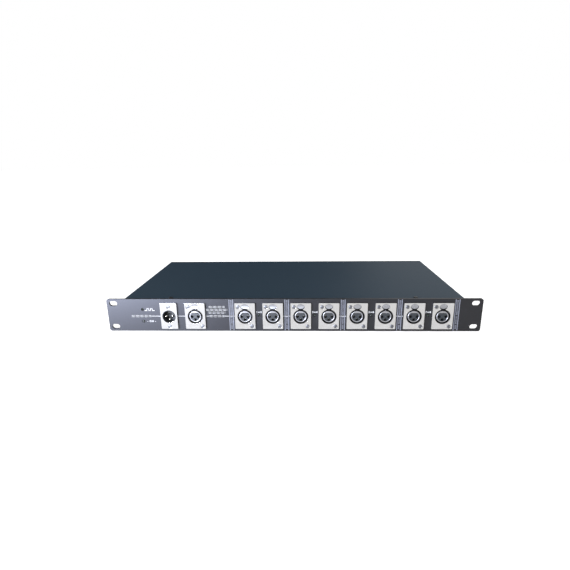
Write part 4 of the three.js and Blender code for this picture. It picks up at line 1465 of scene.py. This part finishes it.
@dataclass
class Socket(Connector):
    """A latching female socket: flange, housing, barrel, insert, contacts and latch."""

    flange_width: float = 26.2
    screw_reach: tuple[float, float] = (8.8, 13.2)
    # Openings of the flange: the bore, the latch's notch and the tab's window
    bore: float = 9.8
    notch_width: float = 6.0
    notch_low: float = 8.2
    notch_high: float = 11.3
    notch_corner: float = 0.5
    window: tuple[float, float] = (10.1, 7.4)
    window_rise: float = 13.4
    # The metal barrel, and the hole in it that the insert's nose seats in
    barrel: float = 7.65
    barrel_front: float = -1.9
    barrel_round: float = 0.5
    seat: float = 6.2
    seat_flat: float = 4.6
    floor: float = 10.7
    # The housing: its lining, and how far that stays from the flange, bore, floor and seat
    liner: float = 9.55
    liner_front: float = -1.6
    housing: float = 11.6
    housing_front: float = 0.05
    housing_back: float = 12.3
    bore_play: float = 0.03
    floor_play: float = 0.2
    seat_play: float = 0.3
    # The latch's pocket, its hollow, and the slot from there into the bore: sizes and middles
    pocket: tuple[float, float, float] = (12.2, 10.7, 9.5)
    pocket_middle: tuple[float, float, float] = (0, 5.4, 12.95)
    hollow: tuple[float, float, float] = (10.8, 10.4, 8.0)
    hollow_middle: tuple[float, float, float] = (0, 4.7, 13.0)
    slot: tuple[float, float, float] = (6.0, 13.0, 4.0)
    slot_middle: tuple[float, float, float] = (0, 3.9, 10.4)
    pocket_overlap: float = 0.2
    # The insert: its nose, and the flange behind it
    nose: float = 5.97
    nose_flat: float = 4.38
    nose_edge: float = 0.2
    nose_back: float = 12.7
    insert_flange: float = 9.5
    insert_front: float = 12.6
    insert_back: float = 15.2
    # The contacts' holes, flared in front, and the spring tubes in them
    contact_hole: float = 1.6
    hole_depth: float = 10.1
    flare: float = 1.95
    flare_depth: tuple[float, float] = (0.05, 0.75)
    tube: tuple[float, float] = (1.56, 1.3)
    tube_front: float = 5.5
    tube_back: float = 8.1
    tube_end: float = 0.4
    # The latch: its dished tab, its arm with the hook, and its cross pin of two thicknesses
    tab: tuple[float, float] = (9.4, 6.3)
    tab_rise: float = 13.75
    tab_front: float = -2.1
    tab_back: float = -0.5
    tab_edge: float = 0.25
    scoop_radius: float = 9.0
    scoop_depth: float = 0.55
    scoop_steps: int = 160
    arm_width: float = 5.0
    arm_edge: float = 0.15
    arm_front: float = -1.2
    arm_side: tuple[tuple[float, float], ...] = (
        (-1.2, 12.2),
        (5.3, 12.3),
        (5.3, 9.8),
        (6.2, 8.9),
        (7.1, 9.8),
        (7.1, 13.2),
    )
    arm_past_pivot: float = 0.95
    pivot: tuple[float, float] = (1.2, 15.6)
    rods: tuple[tuple[float, float], ...] = ((1.2, 4.9), (0.7, 6.1))

    def screw_places(self) -> list[tuple[float, float]]:
        """The socket's screws stand at its upper left and lower right."""
        x, z = self.screw_reach
        return [(-x, z), (x, -z)]

    def build(self, turn: float) -> None:
        """Makes the socket's pieces.

        Args:
            turn: how far each screw's cross is turned from the last, in degrees.
        """
        origin = self.origin()
        name = self.name
        tall = self.notch_high - self.notch_low
        level = self.notch_low + tall / 2
        notch = Rounded(self.notch_width, tall, self.notch_corner, 0, level)
        width, height = self.window
        window = Round(width / 2, 0, self.window_rise, height / width)
        plate = self.flange([Round(self.bore), notch, window])
        put(f"{name}_flange", plate, SATIN_NICKEL, CASE, origin, [f"{name}_shell"])
        # The barrel takes the darker nickel, whose grey is painted dark reflection
        put(f"{name}_barrel", self.barrel_ring(), NICKEL_PAINTED_DARK_REFLECTION, CASE, origin)
        # The housing's black lining is painted shade in the metal bore
        put(f"{name}_housing", self.housing_shell(), BLACK_NYLON, CASE, origin)
        insert, latch = f"{name}_insert", f"{name}_latch"
        put(f"{name}_nose", self.insert(), SLATE_NYLON, CASE, origin, [insert])
        put(f"{name}_contacts", self.contacts(), SILVER_CONTACT, CASE, origin)
        # The tab's darker nickel is painted dark reflection
        put(f"{name}_tab", self.latch(), NICKEL_PAINTED_DARK_REFLECTION, latch, origin, [latch])
        self.screws(origin, turn)

    def barrel_ring(self) -> bmesh.types.BMesh:
        """The metal barrel that stands in the bore, with a flat in its hole.

        Returns:
            The barrel.
        """
        ring = prism(Round(self.barrel), self.barrel_front, self.floor)
        seat = Round(self.seat, flat=self.seat_flat)
        hole = prism(seat, self.barrel_front - OVERRUN, self.floor + OVERRUN)
        barrel = carve(ring, [hole])
        return softened(barrel, self.barrel_round, segments=4, sharper_than=50)

    def housing_shell(self) -> bmesh.types.BMesh:
        """The black housing behind the flange: the bore's lining and the latch's pocket. The
        lining's black is painted shade: the bore's wall is nickel metal, dark only in the shade
        round the barrel.

        Returns:
            The lining and the pocket.
        """
        step, hole = self.floor - self.floor_play, self.seat + self.seat_play
        neck = self.bore - self.bore_play
        body = turned(
            [
                (self.liner, self.liner_front),
                (self.liner, step),
                (hole, step),
                (hole, self.housing_back),
                (self.housing, self.housing_back),
                (self.housing, self.housing_front),
                (neck, self.housing_front),
                (neck, self.liner_front),
                (self.liner, self.liner_front),
            ],
            segments=64,
        )
        round_body = prism(Round(self.housing - self.pocket_overlap), -OVERRUN, self.housing_back)
        tools = [block(self.hollow, self.hollow_middle), round_body]
        pocket = carve(block(self.pocket, self.pocket_middle), tools)
        return gathered([carve(body, [block(self.slot, self.slot_middle)]), pocket])

    def insert(self) -> bmesh.types.BMesh:
        """The slate insert: a nose with three flared holes, and a flange behind.

        Returns:
            The nose and the flange.
        """
        outline = Round(self.nose, flat=self.nose_flat)
        nose = softened(prism(outline, self.barrel_front, self.nose_back), self.nose_edge)
        tools = [shifted(self.contact_bore(), x, 0, z) for x, z in self.contact_places()]
        wide, front, back = self.insert_flange, self.insert_front, self.insert_back
        flange = turned([(0, front), (wide, front), (wide, back), (0, back)])
        return gathered([carve(nose, tools), flange])

    def contact_bore(self) -> bmesh.types.BMesh:
        """What is cut from the nose for one contact.

        Returns:
            The cutting solid, on the connector's axis.
        """
        front = self.barrel_front
        ahead, end = front - OVERRUN, front + self.hole_depth
        wide, narrow = (front + depth for depth in self.flare_depth)
        mouth = [(0, ahead), (self.flare, ahead), (self.flare, wide)]
        hole = [(self.contact_hole, narrow), (self.contact_hole, end), (0, end)]
        return turned([*mouth, *hole], segments=28)

    def contacts(self) -> bmesh.types.BMesh:
        """Three spring tubes down the insert's holes, and their tails to the board.

        Returns:
            The tubes and tails.
        """
        outer, inner = self.tube
        front, back = self.barrel_front + self.tube_front, self.barrel_front + self.tube_back
        end, seat = back - self.tube_end, self.insert_back
        wall = [(inner, front), (outer, front), (outer, back)]
        cup = [*wall, (0, back), (0, end), (inner, end), (inner, front)]
        thin, reach = self.tail_radius, self.tail_back
        pieces = []
        for x, z in self.contact_places():
            tail = turned([(0, seat), (thin, seat), (thin, reach), (0, reach)], segments=16)
            pieces += [shifted(turned(cup, segments=24), x, 0, z), shifted(tail, x, 0, z)]
        return gathered(pieces)

    def latch(self) -> bmesh.types.BMesh:
        """The thumb tab with its arm, hook and cross pin.

        Returns:
            All of them, at rest.
        """
        y, z = self.pivot
        top = [(y + self.arm_past_pivot, z), (self.arm_front, z)]
        quarter = Matrix.Rotation(math.pi / 2, 4, "Z")
        side = Corners((*self.arm_side, *top))
        arm = placed(prism(side, -self.arm_width / 2, self.arm_width / 2), quarter)
        rods = []
        for radius, reach in self.rods:
            side_on = [(0, -reach), (radius, -reach), (radius, reach), (0, reach)]
            rod = turned(side_on, segments=20)
            rods.append(shifted(placed(rod, quarter), 0, y, z))
        arm = softened(arm, self.arm_edge, segments=1)
        return gathered([self.thumb_tab(), arm, *rods])

    def thumb_tab(self) -> bmesh.types.BMesh:
        """The oval tab, dished in front by a cylinder that lies across it.

        Returns:
            The tab.
        """
        width, height = self.tab
        oval = Round(width / 2, 0, self.tab_rise, height / width)
        tab = prism(oval, self.tab_front, self.tab_back)
        dish_y = self.tab_front + self.scoop_depth - self.scoop_radius
        dish = bmesh.new()
        lie = Matrix.Translation((0, dish_y, self.tab_rise)) @ Matrix.Rotation(math.pi / 2, 4, "Y")
        bmesh.ops.create_cone(
            dish,
            cap_ends=True,
            segments=self.scoop_steps,
            radius1=self.scoop_radius,
            radius2=self.scoop_radius,
            depth=2 * width,
            matrix=lie,
        )
        return softened(carve(tab, [dish]), self.tab_edge, segments=3)


@dataclass
class Lamps:
    """Six indicator lamps that look through the panel, in millimetres from its face."""

    radius: float = 1.5
    rim: float = 2.0
    rim_front: float = 3.3
    rim_back: float = 4.3
    lead: float = 0.6
    lead_spacing: float = 2.54
    lead_back: float = 21.4
    steps: int = 6

    def build(self) -> None:
        """Makes each lamp with its leads."""
        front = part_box("front_panel")[0][1]
        for name in lamp_nodes():
            origin = (middle(name, 0), front, middle(name, 2))
            put(f"{name}_lens", self.lens(), LAMP_EPOXY, CASE, origin, [name])
            put(f"{name}_leads", self.leads(), ZINC_STEEL, CASE, origin)

    def lens(self) -> bmesh.types.BMesh:
        """The domed lens and its rim.

        Returns:
            The lens.
        """
        angles = [math.pi / 2 * step / self.steps for step in range(self.steps + 1)]
        dome = [(self.radius * math.sin(a), self.radius * (1 - math.cos(a))) for a in angles]
        rim = [(self.radius, self.rim_front), (self.rim, self.rim_front)]
        back = [(self.rim, self.rim_back), (0, self.rim_back)]
        return turned([*dome, *rim, *back], segments=32)

    def leads(self) -> bmesh.types.BMesh:
        """Two square leads back to the board.

        Returns:
            Both leads.
        """
        length = self.lead_back - self.rim_back
        centre = (self.rim_back + self.lead_back) / 2
        half = self.lead_spacing / 2
        size = (self.lead, length, self.lead)
        return gathered([block(size, (x, centre, 0)) for x in (-half, half)])


@dataclass
class Case:
    """The folded tray, and the cover with its four screws, the rear two nearly flush."""

    sheet: float = 1.2
    bend: float = 1.6
    lip: float = 12.0
    cover_edge: float = 0.2
    tray_edge: float = 0.35
    screw_spacing: float = 317.0
    screw_inset: float = 4.7
    front_screws: Screws = Screws(radius=2.9, height=1.0, arm=1.6, depth=0.6)
    rear_screws: Screws = Screws(radius=2.9, height=0.2, arm=1.6, depth=0.15)
    screw_turn: float = 29.0

    def build(self) -> None:
        """Makes the tray and the cover."""
        tray = softened(solid_of("chassis_tray"), self.tray_edge, sharper_than=60)
        put("folded_tray", tray, CASE_COAT, CASE, (0, 0, 0), ["chassis_tray"])
        low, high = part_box("top_cover")
        width = (high[0] - low[0]) * TO_MM
        depth = (high[1] - low[1]) * TO_MM
        origin = (0, low[1], high[2])
        cover = self.cover(width, depth)
        put("folded_cover", cover, CASE_COAT, CASE, origin, ["top_cover"])
        half = self.screw_spacing / 2
        rows = {self.screw_inset: self.front_screws, depth - self.screw_inset: self.rear_screws}
        heads = gathered(
            screws.on_top([(-half, y), (half, y)], 0, self.screw_turn)
            for y, screws in rows.items()
        )
        put("cover_screws", heads, BLACK_SCREW, CASE, origin)

    def cover(self, width: float, depth: float) -> bmesh.types.BMesh:
        """The cover: one sheet, bent down at both sides, with its top at Z zero.

        Args:
            width: its outside width.
            depth: its depth.

        Returns:
            The cover.
        """
        tall, twice = 2 * self.lip, 2 * self.sheet
        outer = prism(Rounded(width, tall, self.bend, 0, -self.lip), 0, depth)
        hollow = Rounded(width - twice, tall - twice, self.bend - self.sheet, 0, -self.lip)
        inner = prism(hollow, -OVERRUN, depth + OVERRUN)
        past = (width + 2 * OVERRUN, depth + 2 * OVERRUN, tall)
        below = block(past, (0, depth / 2, -self.lip - tall / 2))
        cover = carve(outer, [inner, below])
        return softened(cover, self.cover_edge, segments=1, sharper_than=60)


@dataclass
class Refined:
    """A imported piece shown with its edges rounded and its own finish."""

    node: str
    name: str
    finish: Finish
    slot: str
    bevel: float = 0.25
    body: str = CASE

    def build(self) -> None:
        """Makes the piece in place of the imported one."""
        solid = softened(solid_of(self.node), self.bevel, sharper_than=50)
        put(self.name, solid, self.finish, self.body, (0, 0, 0), [self.node])


@dataclass
class Rear:
    """The mains inlet with its fuse drawer, and the switch with its signs, in millimetres."""

    screw_spacing: float = 40.0
    screw_turn: float = 40.0
    face_radius: float = 22.0
    face_height: float = 4.4
    tilt: float = 10.0
    sign_reach: float = 5.0
    sign_height: float = 3.4
    sign_thick: float = 0.06

    def build(self) -> None:
        """Makes the rear wall's pieces."""
        for piece in self.pieces():
            piece.build()
        self.inlet_screws()
        self.rocker_signs()

    def pieces(self) -> list[Refined]:
        """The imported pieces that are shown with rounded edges."""
        blades = [
            Refined(f"inlet_blade_{wire}", f"{wire}_blade", SILVER_CONTACT, "contact_silver", 0.3)
            for wire in ("neutral", "live", "earth")
        ]
        return [
            Refined("inlet_body", "inlet_moulding", BLACK_NYLON, "black_plastic", 0.35),
            *blades,
            Refined("fuse_drawer", "fuse_tray", BLACK_NYLON, "black_plastic", 0.3, "drawer"),
            Refined("switch_body", "switch_bezel", BLACK_NYLON, "black_plastic", 0.3),
            Refined("switch_rocker", "rocker_cap", BLACK_NYLON, "black_plastic", 0.3, "rocker"),
        ]

    def inlet_screws(self) -> None:
        """The two screws in the inlet's flange."""
        low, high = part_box("inlet_body")
        half = self.screw_spacing / 2
        heads = Screws().on_front([(-half, 0), (half, 0)], 0, self.screw_turn)
        backward = placed(heads, Matrix.Rotation(math.pi, 4, "Z"))
        origin = (middle("inlet_body", 0), high[1], (low[2] + high[2]) / 2)
        put("inlet_screws", backward, BLACK_SCREW, CASE, origin)

    def rocker_signs(self) -> None:
        """The on and off signs on the rocker's hollow face."""
        joints = FRAME["record"]["behaviour"]["joints"]
        pivot = next(joint["pos_m"] for joint in joints if joint["name"] == "rocker_tilt")
        depth = self.face_radius - math.sqrt(self.face_radius**2 - self.sign_reach**2)
        slope = math.asin(self.sign_reach / self.face_radius)
        about = Matrix.Rotation(math.radians(self.tilt), 4, "X")
        marks = []
        for sign, side in (("I", 1), ("O", -1)):
            mark = lettered(sign, self.sign_height, 0, 0, self.sign_thick)
            lean = Matrix.Rotation(side * slope, 4, "X")
            seat = Matrix.Translation((0, self.face_height + depth, side * self.sign_reach))
            marks.append(placed(mark, about @ seat @ lean @ Matrix.Rotation(math.pi, 4, "Z")))
        put("rocker_signs", gathered(marks), PRINT_INK, "rocker", pivot)


def dress_inside() -> None:
    """Gives the boards, the transformer and the wires inside the case their finishes."""
    centre = (middle("toroid_winding", 0), middle("toroid_winding", 1))
    # Polyester tape over the winding: amber and glossy, in overlapping turns
    tape = Wound(
        "polyester_winding_tape",
        "#b9862a",
        metallic=0.0,
        roughness=0.35,
        grain_depth_mm=0.15,
        mottle=0.1,
        mottle_mm=9.0,
        centre=centre,
    )
    finishes = {
        "connector_board": BOARD,
        "main_board": BOARD,
        "link_ribbon": GREY_WIRE,
        "toroid_winding": tape,
        "toroid_washer": ZINC_STEEL,
        "toroid_bolt": ZINC_STEEL,
        "fuse": FUSE_GLASS,
        "live_wire": BROWN_WIRE,
        "switched_wire": BROWN_WIRE,
        "neutral_wire": BLUE_WIRE,
        "earth_wire": GREEN_WIRE,
        "secondary_wire": GREY_WIRE,
    }
    for node, finish in finishes.items():
        dress(node, finish)


@dataclass(frozen=True)
class Lamp:
    """A soft rectangular lamp: its place and target in metres, and its power in watts.

    A gloss_only lamp is seen in reflections and lights nothing else.
    """

    name: str
    place: tuple[float, float, float]
    target: tuple[float, float, float]
    size: tuple[float, float]
    power: float
    colour: str = "#ffffff"
    gloss_only: bool = False

    def build(self) -> None:
        """Hangs the lamp, out of the camera's sight."""
        light = bpy.data.lights.new(self.name, "AREA")
        light.shape = "RECTANGLE"
        light.size, light.size_y = self.size
        light.energy = self.power
        light.color = linear(self.colour)[:3]
        lamp = bpy.data.objects.new(self.name, light)
        lamp.location = self.place
        facing = Vector(self.target) - Vector(self.place)
        lamp.rotation_euler = facing.to_track_quat("-Z", "Y").to_euler()
        lamp.visible_camera = False
        lamp.visible_diffuse = not self.gloss_only
        bpy.context.scene.collection.objects.link(lamp)


LAMPS = (
    Lamp(
        "left_softbox",
        place=(-0.62, -0.75, 0.3),
        target=(-0.15, 0.0, 0.02),
        size=(0.5, 0.4),
        power=4.0,
    ),
    Lamp(
        "left_sheen",
        place=(-0.48, -0.54, 0.08),
        target=(-0.2, 0.0, 0.02),
        size=(0.46, 0.09),
        power=28.0,
        colour="#dfe8ff",
        gloss_only=True,
    ),
    Lamp(
        "top_softbox",
        place=(0.1, -0.2, 1.5),
        target=(0.0, 0.0, 0.02),
        size=(1.4, 1.0),
        power=10.0,
    ),
)


def staged_sheet(
    name: str, size: tuple[float, float], place: Matrix, material: bpy.types.Material
) -> bpy.types.Object:
    """A flat rectangle that belongs to the studio.

    Args:
        name: the object's name.
        size: its width and length.
        place: where it lies, from flat on the ground about the middle.
        material: its surface.

    Returns:
        The object.
    """
    bm = bmesh.new()
    lie = place @ Matrix.Diagonal((*size, 1, 1))
    bmesh.ops.create_grid(bm, x_segments=1, y_segments=1, size=0.5, matrix=lie)
    mesh = bpy.data.meshes.new(name)
    bm.to_mesh(mesh)
    bm.free()
    mesh.materials.append(material)
    made = bpy.data.objects.new(name, mesh)
    bpy.context.scene.collection.objects.link(made)
    return made


@dataclass
class Studio:
    """Floor, soft lamps and a camera at the photograph's angle. Lengths are in metres."""

    focal_pixels: float = 415.28
    image_pixels: float = 570.0
    sensor_mm: float = 36.0
    pitch: float = 16.632
    yaw: float = 2.280
    roll: float = -0.799
    camera_place: tuple[float, float, float] = (0.01167, -0.50255, 0.16886)
    clip: tuple[float, float] = (0.01, 100.0)
    floor_size: float = 30.0
    floor_drop: float = 0.0002
    world_light: float = 0.55
    floor_glow: float = 0.58
    flag_place: tuple[float, float, float] = (-0.44, 1.3, 0.62)
    flag_size: tuple[float, float] = (1.5, 1.2)

    def build(self) -> None:
        """Sets up the floor, the lamps, the world and the camera."""
        self.floor()
        self.flag()
        self.world()
        for lamp in LAMPS:
            lamp.build()
        self.camera()

    def floor(self) -> None:
        """A wide pale floor, white to the camera outside the object's shadow."""
        place = Matrix.Translation((0, 0, -self.floor_drop))
        size = (self.floor_size, self.floor_size)
        staged_sheet("floor", size, place, self.floor_material())

    def flag(self) -> None:
        """A black card behind the left half, which only the cover's and the metal's shine sees."""
        card = bpy.data.materials.new("black_card")
        card.use_nodes = True
        card.node_tree.nodes.clear()
        matt = add_node(card.node_tree, "ShaderNodeBsdfDiffuse", {"Color": linear("#050505")})
        surface = {"Surface": matt.outputs["BSDF"]}
        add_node(card.node_tree, "ShaderNodeOutputMaterial", surface)
        place = Matrix.Translation(self.flag_place) @ UPRIGHT
        flag = staged_sheet("flag", self.flag_size, place, card)
        flag.visible_camera = False
        flag.visible_diffuse = False
        flag.visible_shadow = False

    def floor_material(self) -> bpy.types.Material:
        """Matt white paper, lifted to white where the camera sees it.

        Returns:
            The floor's material.
        """
        material = bpy.data.materials.new("white_paper")
        material.use_nodes = True
        tree = material.node_tree
        tree.nodes.clear()
        white = linear("#ffffff")
        paper = add_node(tree, "ShaderNodeBsdfDiffuse", {"Color": linear("#e9e9ea")})
        glow = add_node(tree, "ShaderNodeEmission", {"Color": white, "Strength": self.floor_glow})
        parts = {0: paper.outputs["BSDF"], 1: glow.outputs["Emission"]}
        both = add_node(tree, "ShaderNodeAddShader", parts)
        sides = {0: self.seen(tree), 1: paper.outputs["BSDF"], 2: both.outputs["Shader"]}
        mix = add_node(tree, "ShaderNodeMixShader", sides)
        add_node(tree, "ShaderNodeOutputMaterial", {"Surface": mix.outputs["Shader"]})
        return material

    def seen(self, tree: bpy.types.NodeTree) -> bpy.types.NodeSocket:
        """One for rays from the camera, directly or by way of metal or glass, and else zero.

        Args:
            tree: the node tree to work in.

        Returns:
            The socket that gives it.
        """
        path = add_node(tree, "ShaderNodeLightPath").outputs
        direct = {0: path["Is Camera Ray"], 1: path["Is Glossy Ray"]}
        mirrored = add_node(tree, "ShaderNodeMath", direct, operation="MAXIMUM").outputs["Value"]
        through = {0: mirrored, 1: path["Is Transmission Ray"]}
        return add_node(tree, "ShaderNodeMath", through, operation="MAXIMUM").outputs["Value"]

    def world(self) -> None:
        """A soft grey surround, white where the camera sees it."""
        world = bpy.data.worlds.new("surround")
        bpy.context.scene.world = world
        world.use_nodes = True
        tree = world.node_tree
        tree.nodes.clear()
        levels = {"Value": self.seen(tree), "To Min": self.world_light}
        strength = add_node(tree, "ShaderNodeMapRange", levels)
        background = add_node(
            tree,
            "ShaderNodeBackground",
            {"Color": linear("#ffffff"), "Strength": strength.outputs["Result"]},
        )
        add_node(tree, "ShaderNodeOutputWorld", {"Surface": background.outputs["Background"]})

    def camera(self) -> None:
        """The camera, set by its place from the panel's top edge and its three angles."""
        data = bpy.data.cameras.new("camera")
        data.sensor_width = self.sensor_mm
        data.lens = self.focal_pixels * self.sensor_mm / self.image_pixels
        data.clip_start, data.clip_end = self.clip
        camera = bpy.data.objects.new("camera", data)
        low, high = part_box("front_panel")
        x, y, z = self.camera_place
        tilt = Matrix.Rotation(math.pi / 2 - math.radians(self.pitch), 4, "X")
        pan = Matrix.Rotation(math.radians(self.yaw), 4, "Z")
        lean = Matrix.Rotation(math.radians(self.roll), 4, "Z")
        place = Matrix.Translation((x, low[1] + y, high[2] + z))
        camera.matrix_world = place @ pan @ tilt @ lean
        bpy.context.scene.collection.objects.link(camera)
        bpy.context.scene.camera = camera


def main() -> None:
    """Builds every sub-assembly in order, then the studio."""
    logging.basicConfig(level=logging.INFO, format="%(message)s")
    scene = bpy.context.scene
    scene.view_settings.view_transform = "Standard"
    plug = Plug("input")
    outputs = [f"output_{number}" for number in range(1, OUTPUT_COUNT + 1)]
    sockets = [Socket(name) for name in ("thru", *outputs)]
    plug_x, _, line = (value * TO_MM for value in plug.origin())
    socket_xs = [socket.origin()[0] * TO_MM for socket in sockets]
    Case().build()
    FrontPanel().build(plug_x, socket_xs, line)
    plug.build()
    for index, socket in enumerate(sockets):
        socket.build(SOCKET_TURN + TURN_STEP * index)
    Lamps().build()
    Rear().build()
    dress_inside()
    Studio().build()


if __name__ == "__main__":
    main()
